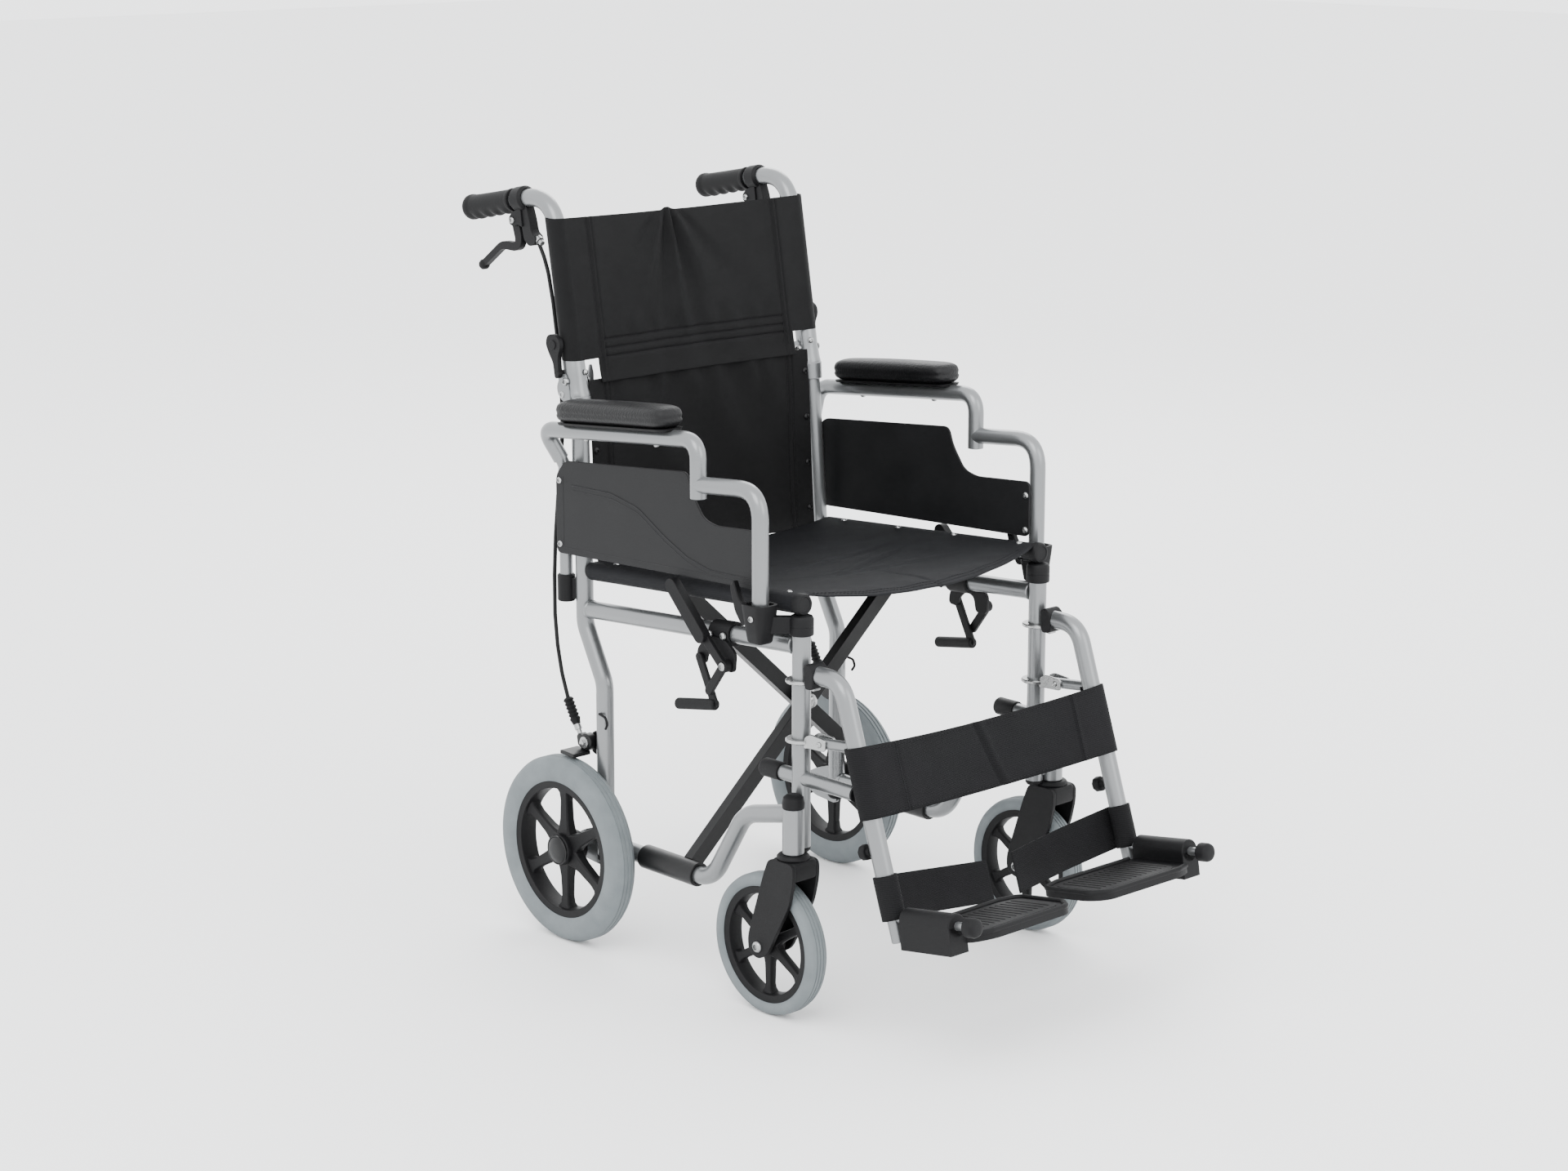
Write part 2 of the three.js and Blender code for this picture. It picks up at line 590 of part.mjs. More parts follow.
for (const { sign, label } of SIDES) {
  const on = (name) => `${name}_${label}`;
  add(on('front_post'), frontPost(sign), 'silver');
  add(on('rear_post'), rearPost(sign), 'silver');
  add(on('upper_side_rail'), upperSideRail(sign), 'silver');
  add(on('lower_side_rail'), lowerSideRail(sign), 'silver');
  add(on('back_hinge_bracket'), backHingeBracket(sign), 'zinc');
  add(on('back_tube'), backTube(sign), 'silver');
  add(on('hand_grip'), handGrip(sign), 'plastic');
  add(on('brake_lever_mount'), brakeLeverMount(sign), 'plastic');
  add(on('brake_lever'), brakeLever(sign), 'plastic');
  add(on('brake_cable'), brakeCable(sign), 'plastic');
  add(on('tyre_brake_arm'), tyreBrakeArm(sign), 'enamel');
  add(on('armrest_frame'), armrestFrame(sign), 'silver');
  add(on('arm_pad'), armPad(sign), 'vinyl', { at: [sign * ARM_X, 128, 663], turn: [-ARM_SLOPE, 0, 0] });
  add(on('skirt_guard'), skirtGuard(sign), 'guard');
  add(on('armrest_socket'), armrestSocket(sign), 'plastic');
  add(on('footrest_hanger'), footrestHanger(sign), 'silver');
  add(on('footrest_extension'), footrestExtension(sign), 'silver');
  const foot = new THREE.Group();
  foot.position.set(sign * FOOT_PIVOT[0], FOOT_PIVOT[1], FOOT_PIVOT[2]);
  foot.rotation.x = -FOOT_PITCH;
  wheelchair.add(foot);
  add(on('footplate'), footplate(sign), 'plastic', { parent: foot });
  add(on('heel_strap'), heelStrap(sign), 'nylon');
  add(on('castor_fork'), castorFork(sign), 'plastic');
  for (const [name, wheel] of [['castor', CASTOR], ['rear_wheel', REAR_WHEEL]]) {
    const hub = new THREE.Group();
    hub.position.set(sign * wheel.x, wheel.y, wheel.r);
    hub.rotation.z = sign > 0 ? 0 : Math.PI;
    wheelchair.add(hub);
    add(on(`${name}_rim`), rim(wheel, name === 'rear_wheel'), 'plastic', { parent: hub });
    add(on(`${name}_tyre`), tyre(wheel), 'tyre', { parent: hub });
  }
  add(on('parking_brake_mount'), parkingBrakeMount(sign), 'plastic');
  add(on('parking_brake_lever'), parkingBrakeLever(sign), 'plastic');
  add(on('parking_brake_shoe'), parkingBrakeShoe(sign), 'plastic');
}

// ---------------------------------------------------------------- scissor braces and seat rails
function crossBrace(lowSign, y, pin) {
  const low = [lowSign * HALF, y, LOWER_RAIL_Z];
  const high = [-lowSign * HALF, y, BRACE_TOP_Z];
  const run = new THREE.Vector3(...high).sub(new THREE.Vector3(...low));
  const start = new THREE.Vector3(...low).addScaledVector(run.clone().normalize(), 12);
  const length = run.length() - 12;
  const middle = start.clone().addScaledVector(run.clone().normalize(), length / 2);
  const angle = -Math.atan2(run.z, run.x);
  const bar = block([length, 14, 20], middle.toArray(), [0, angle, 0]);
  const sleeve = ring([low[0], 26, low[2]], [low[0], 126, low[2]], 15, TUBE_R + RUNNING);
  const railX = high[0];
  const rail = rod(
    [railX, SEAT_RAIL.front, seatRailZ(SEAT_RAIL.front)],
    [railX, SEAT_RAIL.rear, seatRailZ(SEAT_RAIL.rear)],
    SEAT_RAIL_R,
  );
  const body = union(bar, sleeve, rail);
  const pinFrom = [0, 38, BRACE_PIN_Z];
  const pinTo = [0, 79, BRACE_PIN_Z];
  if (pin) {
    return union(body, rod(pinFrom, pinTo, 5, 12), rod([0, 75.4, BRACE_PIN_Z], pinTo, 9, 12));
  }
  return body.subtract(hole(pinFrom, pinTo, 5 + RUNNING, 12));
}

add('cross_brace_front', crossBrace(-1, 50, true), 'enamel');
add('cross_brace_rear', crossBrace(1, 68, false), 'enamel');

// ---------------------------------------------------------------- slings and straps
function seatSling() {
  const free = HALF - 12;
  const sag = 12;
  const thickness = 3;
  const top = [-HALF - 8, -free, -140, -70, 0, 70, 140, free, HALF + 8].map((x) => (
    [x, -sag * Math.max(0, 1 - (x / free) ** 2)]
  ));
  const under = top.map(([x, z]) => [x, z - thickness]).reverse();
  const sheet = extruded(outline([...top, ...under]), 460);
  sheet.rotateX(Math.PI / 2);
  sheet.rotateX(-Math.atan(SEAT_RAIL.slope));
  sheet.translate(0, SEAT_RAIL.rear, SEAT_RAIL.zAtRear + SEAT_RAIL_R + thickness + 0.6);
  const front = [[-208, -148], [-110, -170], [0, -184], [110, -170], [208, -148]];
  const plan = [...front, [208, 220], [-208, 220]];
  return solid(sheet).intersect(plateZ(plan, 400, 600));
}

function backSlingUpper() {
  const sleeves = SIDES.map(({ sign }) => (
    ring(onBackTube(sign, 735), onBackTube(sign, 882), 13.6, TUBE_R + 0.5)
  ));
  const lean = (BACK_TOP[1] - HINGE_Y) / (BACK_TOP[2] - HINGE_Z);
  const yAt = (z) => HINGE_Y + (z - HINGE_Z) * lean;
  const sheet = (z0, z1, half) => {
    const face = [[yAt(z0) - 1.5, z0], [yAt(z0) + 1.5, z0], [yAt(z1) + 1.5, z1], [yAt(z1) - 1.5, z1]];
    return plateX(face, -half, half);
  };
  return union(...sleeves, sheet(736, 881, BACK_HALF - 12), sheet(HINGE_Z + GAP, 740, BACK_HALF - 18));
}

function backSlingLower() {
  const yAt = (z) => 239.5 + ((HINGE_Y - 239.5) * (z - 500)) / (HINGE_Z - 500);
  const [low, high] = [474, HINGE_Z - GAP];
  const bottom = yAt(low);
  const top = yAt(high);
  const face = [[bottom - 1.5, low], [bottom + 1.5, low], [top + 1.5, high], [top - 1.5, high]];
  const half = BACK_HALF - 18;
  return plateX(face, -half, half);
}

function calfStrap() {
  return strap([[-214, 88], [214, 88], [214, 172], [-214, 172]], TUBE_R + 1);
}

add('seat_sling', seatSling(), 'nylon');
add('back_sling_upper', backSlingUpper(), 'nylon');
add('back_sling_lower', backSlingLower(), 'nylon');
add('calf_strap', calfStrap(), 'nylon');

export default wheelchair;
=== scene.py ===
import json
import math

import bmesh
import bpy
from bpy.props import FloatProperty, FloatVectorProperty, IntProperty, PointerProperty
from mathutils import Matrix, Vector, noise

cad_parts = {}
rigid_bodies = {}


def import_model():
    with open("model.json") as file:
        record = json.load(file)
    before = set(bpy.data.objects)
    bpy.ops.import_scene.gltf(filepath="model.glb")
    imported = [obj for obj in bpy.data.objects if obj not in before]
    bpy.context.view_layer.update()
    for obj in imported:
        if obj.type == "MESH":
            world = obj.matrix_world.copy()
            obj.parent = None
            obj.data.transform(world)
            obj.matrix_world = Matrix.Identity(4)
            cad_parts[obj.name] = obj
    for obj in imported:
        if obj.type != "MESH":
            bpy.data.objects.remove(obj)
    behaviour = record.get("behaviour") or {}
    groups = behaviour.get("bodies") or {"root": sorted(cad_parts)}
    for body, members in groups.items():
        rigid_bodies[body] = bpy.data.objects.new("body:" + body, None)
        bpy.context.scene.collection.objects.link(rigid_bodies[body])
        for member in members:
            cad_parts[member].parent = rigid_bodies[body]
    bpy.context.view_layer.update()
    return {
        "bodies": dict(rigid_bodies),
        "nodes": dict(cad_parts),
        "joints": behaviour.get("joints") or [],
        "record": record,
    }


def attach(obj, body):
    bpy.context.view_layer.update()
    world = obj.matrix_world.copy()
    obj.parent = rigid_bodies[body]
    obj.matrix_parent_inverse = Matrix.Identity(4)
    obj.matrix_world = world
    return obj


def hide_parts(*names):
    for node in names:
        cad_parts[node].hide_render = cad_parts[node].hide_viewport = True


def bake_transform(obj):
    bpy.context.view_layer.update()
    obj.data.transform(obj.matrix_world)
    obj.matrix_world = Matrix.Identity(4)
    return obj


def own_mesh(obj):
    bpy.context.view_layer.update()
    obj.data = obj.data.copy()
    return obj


bl_info = {
    "name": "Folding Wheelchair",
    "version": (1, 0, 0),
    "blender": (4, 5, 0),
    "location": "3D Viewport > Sidebar > Wheelchair",
    "description": "Builds a folding attendant-propelled wheelchair on its packed frame",
    "category": "Object",
}

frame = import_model()

MM = 0.001
SIDES = (("right", -1), ("left", 1))

# Sizes of the chair in millimetres; pairs are (y, z). The front is -Y, the seated person's right -X.
HALF = 200
BACK_HALF = 195
TUBE_R = 11
ARM_TUBE_R = 10
POST_Y = -155
REAR_POST_Y = 238.5
LOWER_RAIL_Z = 128
HINGE = (256, 708)
BACK_TOP = (294, 934)
GRIP_END = (461, 903.4)
LEVER_PIVOT = (366, 896)
REAR_WHEEL = {"x": 232, "y": 241, "r": 119, "half": 17, "seat": 86.7, "hub": 20, "spoke": 15}
CASTOR = {"x": 222, "y": -126, "r": 86, "half": 14, "seat": 70, "hub": 13, "spoke": 11}
STEM_Y = -165
BRACE_TOP_Z = 485
BRACE_PIN_Z = 306.5
SEAT_SLOPE = 0.063
ARM_X = 233
ARM_SLOPE = math.atan2(675 - 650, 287)
ARM_LEG = (210, 262)
SLEEVE_LOW = 733
LOW_HEM = 474
SEAM = (150, 157)
QUILTING = (754, 743, 733)
FOOT_PIVOT = (-372, 168)
FOOT_PITCH = math.radians(9)
HANGER_BEND = (-222.5, 419)
HANGER_END = (-300.7, 185)
BRAKE_PIVOT = (-47, 408)
SHOE_PIVOT = (1, 410)


# ------------------------------------------------------------------ shader arithmetic
class Value:
    """A node socket that takes part in ordinary Python arithmetic."""

    def __init__(self, tree, socket):
        self.tree = tree
        self.socket = socket

    def maths(self, operation, *others):
        node = self.tree.nodes.new("ShaderNodeMath")
        node.operation = operation
        for place, term in enumerate((self, *others)):
            feed(self.tree, node.inputs[place], term)
        return Value(self.tree, node.outputs[0])

    def reflected(self, operation, other):
        node = self.tree.nodes.new("ShaderNodeMath")
        node.operation = operation
        feed(self.tree, node.inputs[0], other)
        feed(self.tree, node.inputs[1], self)
        return Value(self.tree, node.outputs[0])

    def __add__(self, other):
        return self.maths("ADD", other)

    def __radd__(self, other):
        return self.reflected("ADD", other)

    def __sub__(self, other):
        return self.maths("SUBTRACT", other)

    def __rsub__(self, other):
        return self.reflected("SUBTRACT", other)

    def __mul__(self, other):
        return self.maths("MULTIPLY", other)

    def __rmul__(self, other):
        return self.reflected("MULTIPLY", other)

    def sine(self):
        return self.maths("SINE")

    def clamped(self):
        return self.maths("MAXIMUM", 0.0).maths("MINIMUM", 1.0)


def feed(tree, place, term):
    """Puts a number, a colour or another socket into an input."""
    if isinstance(term, Value):
        tree.links.new(term.socket, place)
    else:
        place.default_value = term


class Finish:
    """One material: its nodes are added by name and wired through Value objects."""

    def __init__(self, name):
        self.material = bpy.data.materials.new(name)
        self.material.use_nodes = True
        self.tree = self.material.node_tree
        self.shader = self.tree.nodes["Principled BSDF"]

    def node(self, kind, settings=None, sockets=None, output=0):
        """Adds a node: its settings first, then the values or links of its sockets."""
        made = self.tree.nodes.new(kind)
        for key, setting in (settings or {}).items():
            setattr(made, key, setting)
        for key, term in (sockets or {}).items():
            feed(self.tree, made.inputs[key], term)
        return Value(self.tree, made.outputs[output])

    def place(self):
        return self.node("ShaderNodeTexCoord", output="Object")

    def speckle(self, scale, detail=3.0):
        """Soft noise; the scale is in grains per metre."""
        return self.node("ShaderNodeTexNoise", {}, {"Vector": self.place(), "Scale": scale, "Detail": detail})

    def cells(self, scale):
        """Rounded pores; the scale is in pores per metre."""
        return self.node("ShaderNodeTexVoronoi", {"feature": "SMOOTH_F1"},
                         {"Vector": self.place(), "Scale": scale})

    def along(self, axis):
        return self.node("ShaderNodeSeparateXYZ", {}, {"Vector": self.place()}, axis)

    def mix(self, share, first, second):
        """A colour between two others."""
        return self.node("ShaderNodeMix", {"data_type": "RGBA"},
                         {0: share, 6: (*first, 1.0), 7: (*second, 1.0)}, 2)

    def surface(self, colour, rough, height, metallic=0.0, depth=0.0003, coat=0.0, gloss=0.5):
        """Wires the shader: colour, roughness and height vary, the rest is even."""
        feed(self.tree, self.shader.inputs["Base Color"], colour)
        feed(self.tree, self.shader.inputs["Roughness"], rough)
        self.shader.inputs["Metallic"].default_value = metallic
        self.shader.inputs["Coat Weight"].default_value = coat
        self.shader.inputs["Specular IOR Level"].default_value = gloss
        bump = self.node("ShaderNodeBump", {}, {"Height": height, "Distance": depth, "Strength": 1.0})
        feed(self.tree, self.shader.inputs["Normal"], bump)
        return self.material


def silver_paint(name, colour):
    """Satin paint with a fine metal flake."""
    finish = Finish(name)
    flake = finish.speckle(1800.0)
    haze = finish.speckle(14.0, detail=5.0)
    darker = tuple(channel * 0.86 for channel in colour)
    return finish.surface(finish.mix(haze * 0.5 + flake * 0.5, darker, colour),
                          haze * 0.14 + flake * 0.06 + 0.2, flake * 0.4 + haze, 0.78, 0.00008, 0.1)


def black_moulding(name, colour, rough=0.5, grain=900.0, depth=0.00012, gloss=0.16):
    """Moulded plastic, rubber or enamel with fine pores and slight wear."""
    finish = Finish(name)
    pores = finish.cells(grain)
    wear = finish.speckle(22.0, detail=6.0)
    lighter = tuple(channel * 1.9 + 0.0012 for channel in colour)
    return finish.surface(finish.mix((wear - 0.35).clamped(), colour, lighter),
                          wear * 0.2 + rough - pores * 0.08, pores, 0.0, depth, gloss=gloss)


def woven_nylon(name, colour, across, up, pitch=0.9):
    """A plain weave: the pitch is the width of one thread in millimetres."""
    finish = Finish(name)
    turns = math.tau / (pitch * MM)
    warp = (finish.along(across) * turns).sine()
    weft = (finish.along(up) * turns).sine()
    thread = (warp * weft) * 0.5 + 0.5
    dust = finish.speckle(30.0, detail=6.0)
    lighter = tuple(channel * 2.4 + 0.0014 for channel in colour)
    return finish.surface(finish.mix((thread * 0.4 + dust * 0.5).clamped(), colour, lighter),
                          0.8 - thread * 0.16 - dust * 0.1, thread + dust * 0.6, 0.0, 0.0003, gloss=0.14)


def ribbed_webbing(name, colour):
    """Strap webbing with ribs across its height."""
    finish = Finish(name)
    rib = (finish.along("Z") * (math.tau / (1.6 * MM))).sine() * 0.5 + 0.5
    cross = (finish.along("X") * (math.tau / (2.5 * MM))).sine() * 0.5 + 0.5
    dust = finish.speckle(40.0, detail=5.0)
    return finish.surface(finish.mix((rib * 0.5 + dust * 0.4).clamped(), colour, (0.007, 0.007, 0.008)),
                          0.86 - rib * 0.15, rib + cross * 0.4, 0.0, 0.0003, gloss=0.14)


def tyre_rubber(name, worn, clean):
    """Solid tyre rubber, dusty and slightly gritty."""
    finish = Finish(name)
    dust = finish.speckle(35.0, detail=7.0)
    grit = finish.speckle(600.0)
    return finish.surface(finish.mix((dust * 1.4 - 0.3).clamped(), worn, clean),
                          0.62 + dust * 0.25, grit + dust, 0.0, 0.00025)


def soft_vinyl(name, colour):
    """The leather-grained skin of the arm pads."""
    finish = Finish(name)
    pores = finish.cells(420.0)
    wear = finish.speckle(18.0, detail=5.0)
    return finish.surface(finish.mix((wear - 0.3).clamped(), colour, (0.006, 0.006, 0.0066)),
                          0.42 + wear * 0.2 - pores * 0.1, pores, 0.0, 0.0004, gloss=0.22)


def bright_zinc(name, dull, bright):
    """Brushed zinc plate on the screws, bolts and latch rings."""
    finish = Finish(name)
    brushed = finish.speckle(260.0, detail=4.0)
    haze = finish.speckle(25.0)
    return finish.surface(finish.mix(haze, dull, bright), brushed * 0.25 + 0.16, brushed, 0.95, 0.00006)


FINISHES = {
    "frame_silver": lambda chosen: silver_paint("satin_silver", chosen.frame_colour),
    "zinc": lambda chosen: bright_zinc("bright_zinc", (0.24, 0.246, 0.25), (0.4, 0.4, 0.395)),
    "black_plastic": lambda chosen: black_moulding("grained_black", chosen.moulding_colour),
    "black_enamel": lambda chosen: black_moulding("black_enamel", chosen.enamel_colour,
                                                  0.3, 120.0, 0.00005, 0.24),
    "guard_plastic": lambda chosen: black_moulding("guard_sheet", chosen.guard_colour,
                                                   0.52, 1300.0, 0.0001, 0.2),
    "grip_rubber": lambda chosen: black_moulding("grip_rubber", chosen.grip_colour,
                                                 0.56, 700.0, 0.0002, 0.17),
    "cable_jacket": lambda chosen: black_moulding("cable_jacket", (0.004, 0.004, 0.0044),
                                                  0.35, 300.0, 0.00004),
    "nylon": lambda chosen: woven_nylon("back_nylon", chosen.back_colour, "X", "Z"),
    "seat_nylon": lambda chosen: woven_nylon("seat_nylon", chosen.seat_colour, "X", "Y"),
    "webbing": lambda chosen: ribbed_webbing("strap_webbing", chosen.strap_colour),
    "thread": lambda chosen: woven_nylon("sewing_thread", chosen.thread_colour, "X", "Z", 0.4),
    "pad_vinyl": lambda chosen: soft_vinyl("soft_vinyl", chosen.pad_colour),
    "grey_tyre": lambda chosen: tyre_rubber("grey_rubber", (0.085, 0.1, 0.106), chosen.tyre_colour),
}
made_finishes = {}


def finish_of(key):
    """The material of a finish, made when it is first asked for."""
    if key not in made_finishes:
        made_finishes[key] = FINISHES[key](bpy.context.scene.wheelchair)
    return made_finishes[key]


# ------------------------------------------------------------------ shapes
def bent(points, bend, steps=8):
    """The stations of a path of straight runs joined by round bends."""
    corners = [Vector(p) for p in points]
    stations = [corners[0]]
    for before, corner, after in zip(corners, corners[1:], corners[2:]):
        back, ahead = before - corner, after - corner
        reach = min(bend / math.tan(back.angle(ahead) / 2), back.length * 0.49, ahead.length * 0.49)
        start = corner + back.normalized() * reach
        end = corner + ahead.normalized() * reach
        for i in range(steps + 1):
            t = i / steps
            stations.append(start * (1 - t) ** 2 + corner * (2 * t * (1 - t)) + end * t * t)
    return stations + [corners[-1]]


def rounded(points, radius, steps=5):
    """A closed outline with rounded corners."""
    corners = [Vector(p) for p in points]
    made = []
    for i, corner in enumerate(corners):
        back = corners[i - 1] - corner
        ahead = corners[(i + 1) % len(corners)] - corner
        reach = min(radius, back.length * 0.45, ahead.length * 0.45)
        if reach <= 0:
            made.append(corner)
            continue
        start, end = corner + back.normalized() * reach, corner + ahead.normalized() * reach
        for k in range(steps + 1):
            t = k / steps
            made.append(start * (1 - t) ** 2 + corner * (2 * t * (1 - t)) + end * t * t)
    return made


class Piece:
    """Gathers the solids of one piece, given in millimetres, and turns them into one object."""

    def __init__(self):
        self.mesh = bmesh.new()

    def skin(self, rings, closed=False, caps=True):
        """Joins rings of points, one after another, into a surface."""
        made = [[self.mesh.verts.new(Vector(p) * MM) for p in ring] for ring in rings]
        pairs = list(zip(made, made[1:])) + ([(made[-1], made[0])] if closed else [])
        for low, high in pairs:
            count = len(low)
            for i in range(count):
                self.mesh.faces.new((low[i], low[(i + 1) % count], high[(i + 1) % count], high[i]))
        if caps and not closed:
            self.mesh.faces.new(list(reversed(made[0])))
            self.mesh.faces.new(made[-1])
        return self

    def tube(self, points, radius, bend=30.0, sides=28, steps=8):
        """A round bar along a path whose corners are bent to a radius."""
        stations = bent(points, bend, steps)
        rings = []
        normal = None
        for i, station in enumerate(stations):
            run = (stations[min(i + 1, len(stations) - 1)] - stations[max(i - 1, 0)]).normalized()
            normal = run.orthogonal() if normal is None else normal - run * normal.dot(run)
            normal.normalize()
            other = run.cross(normal)
            rings.append([station + radius * (math.cos(a) * normal + math.sin(a) * other)
                          for a in (math.tau * k / sides for k in range(sides))])
        return self.skin(rings)

    def turned(self, start, direction, profile, sides=40, closed=False):
        """A solid of revolution: the profile is (distance along, radius) pairs."""
        run = Vector(direction).normalized()
        normal = run.orthogonal().normalized()
        other = run.cross(normal)
        spin = [math.tau * k / sides for k in range(sides)]
        return self.skin([[Vector(start) + run * d + r * (math.cos(a) * normal + math.sin(a) * other)
                           for a in spin] for d, r in profile], closed)

    def rod(self, start, end, radius, edge=0.8, sides=32):
        """A straight round bar with worn ends."""
        run = Vector(end) - Vector(start)
        edge = min(edge, radius * 0.4, run.length * 0.4)
        return self.turned(start, run, [(0, radius - edge), (edge, radius), (run.length - edge, radius),
                                        (run.length, radius - edge)], sides)

    def ring(self, start, end, outer, inner, sides=36, edge=0.8):
        """A straight sleeve with worn outer ends."""
        run = Vector(end) - Vector(start)
        long = run.length
        profile = [(0, inner), (0, outer - edge), (edge, outer), (long - edge, outer),
                   (long, outer - edge), (long, inner)]
        return self.turned(start, run, profile, sides, closed=True)

    def screw(self, at, direction, radius=4.0, height=2.6):
        """A domed screw head with a slot-deep socket in the middle."""
        profile = [(-0.4, radius), (height * 0.35, radius), (height * 0.8, radius * 0.8),
                   (height, radius * 0.5), (height * 0.45, radius * 0.42), (height * 0.4, radius * 0.1)]
        return self.turned(at, direction, profile, 20)

    def plate_x(self, points, x0, x1, corner=0.0):
        """A plate across X from an outline of (y, z) points, with rounded corners."""
        shape = rounded([(0, y, z) for y, z in points], corner)
        low, high = min(x0, x1), max(x0, x1)
        return self.skin([[Vector((x, p.y, p.z)) for p in shape] for x in (low, high)])

    def block(self, size, at, turn=0.0, axis="Z"):
        """A square bar about a middle point, turned about one axis."""
        spin = Matrix.Rotation(turn, 3, axis)
        half = Vector(size) / 2
        rings = [[spin @ Vector((sx * half.x, sy * half.y, sz * half.z)) + Vector(at)
                  for sx, sy in ((-1, -1), (1, -1), (1, 1), (-1, 1))] for sz in (-1, 1)]
        return self.skin(rings)

    def link(self, start, end, width, x0, x1):
        """A flat bar with round ends between two points in the (y, z) plane."""
        run = Vector((end[0] - start[0], end[1] - start[1]))
        lean = math.atan2(run.y, run.x)
        points = []
        for centre, first in ((start, lean + math.pi / 2), (end, lean - math.pi / 2)):
            for k in range(13):
                angle = first + math.pi * k / 12
                points.append((centre[0] + width / 2 * math.cos(angle),
                               centre[1] + width / 2 * math.sin(angle)))
        return self.plate_x(points, x0, x1)

    def turn_about(self, matrix):
        bmesh.ops.transform(self.mesh, matrix=matrix, verts=self.mesh.verts[:])
        return self

    def object(self, name, finish, body=None, stands_for=(), edge=0.0, angle=38.0):
        """Ends the piece: its mesh becomes an object in the scene."""
        bmesh.ops.recalc_face_normals(self.mesh, faces=self.mesh.faces[:])
        data = bpy.data.meshes.new(name)
        self.mesh.to_mesh(data)
        self.mesh.free()
        made = bpy.data.objects.new(name, data)
        bpy.context.scene.collection.objects.link(made)
        return dress(made, finish, body, stands_for, edge, angle)


def dress(made, finish, body=None, stands_for=(), edge=0.0, angle=38.0):
    """Gives an object its material, smooth shading, worn edges and the body that it rides on."""
    made.data.materials.append(finish_of(finish))
    made.data.shade_smooth()
    made.data.set_sharp_from_angle(angle=math.radians(angle))
    if edge:
        bevel = made.modifiers.new("edges", "BEVEL")
        bevel.width = edge * MM
        bevel.segments = 2
        bevel.limit_method = "ANGLE"
        bevel.angle_limit = math.radians(angle)
    if stands_for:
        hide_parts(*([stands_for] if isinstance(stands_for, str) else stands_for))
    if body:
        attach(made, body)
    return made


def cloth_grid(name, finish, rows, thickness, stands_for=()):
    """A sheet from rows of points in millimetres, thickened about its middle by a thickness in metres."""
    mesh = bmesh.new()
    made = [[mesh.verts.new(Vector(p) * MM) for p in row] for row in rows]
    for low, high in zip(made, made[1:]):
        for i in range(len(low) - 1):
            mesh.faces.new((low[i], low[i + 1], high[i + 1], high[i]))
    data = bpy.data.meshes.new(name)
    mesh.to_mesh(data)
    mesh.free()
    cloth = bpy.data.objects.new(name, data)
    bpy.context.scene.collection.objects.link(cloth)
    dress(cloth, finish, None, stands_for, angle=75.0)
    thick = cloth.modifiers.new("thickness", "SOLIDIFY")
    thick.thickness = thickness
    thick.offset = 0.0
    return cloth


def bump_at(value, centre, width):
    """A smooth hump of height 1 at the centre."""
    return math.exp(-(((value - centre) / width) ** 2))


def length_of(points):
    return sum((Vector(b) - Vector(a)).length for a, b in zip(points, points[1:]))


def rail_z(y):
    """The middle of the sloping upper side rail."""
    return 449.5 - (y - POST_Y) * (449.5 - 423.8) / (REAR_POST_Y - POST_Y)


def seat_rail_z(y):
    """The middle of the sloping seat rail."""
    return 474.4 + (222 - y) * SEAT_SLOPE


def back_y(z):
    """The middle of the leaning back, at height z."""
    return HINGE[0] + (z - HINGE[1]) * (BACK_TOP[0] - HINGE[0]) / (BACK_TOP[1] - HINGE[1])


def lower_back_y(z):
    """The middle of the rear posts above the seat, at height z."""
    return 239.5 + (HINGE[0] - 239.5) * (z - 500) / (HINGE[1] - 500)


def on_handle(sign, distance):
    """A point on the handle's line, so far forward of the end of the grip."""
    run = Vector((0, GRIP_END[0] - BACK_TOP[0], GRIP_END[1] - BACK_TOP[1])).normalized()
    return Vector((sign * BACK_HALF, *GRIP_END)) - run * distance


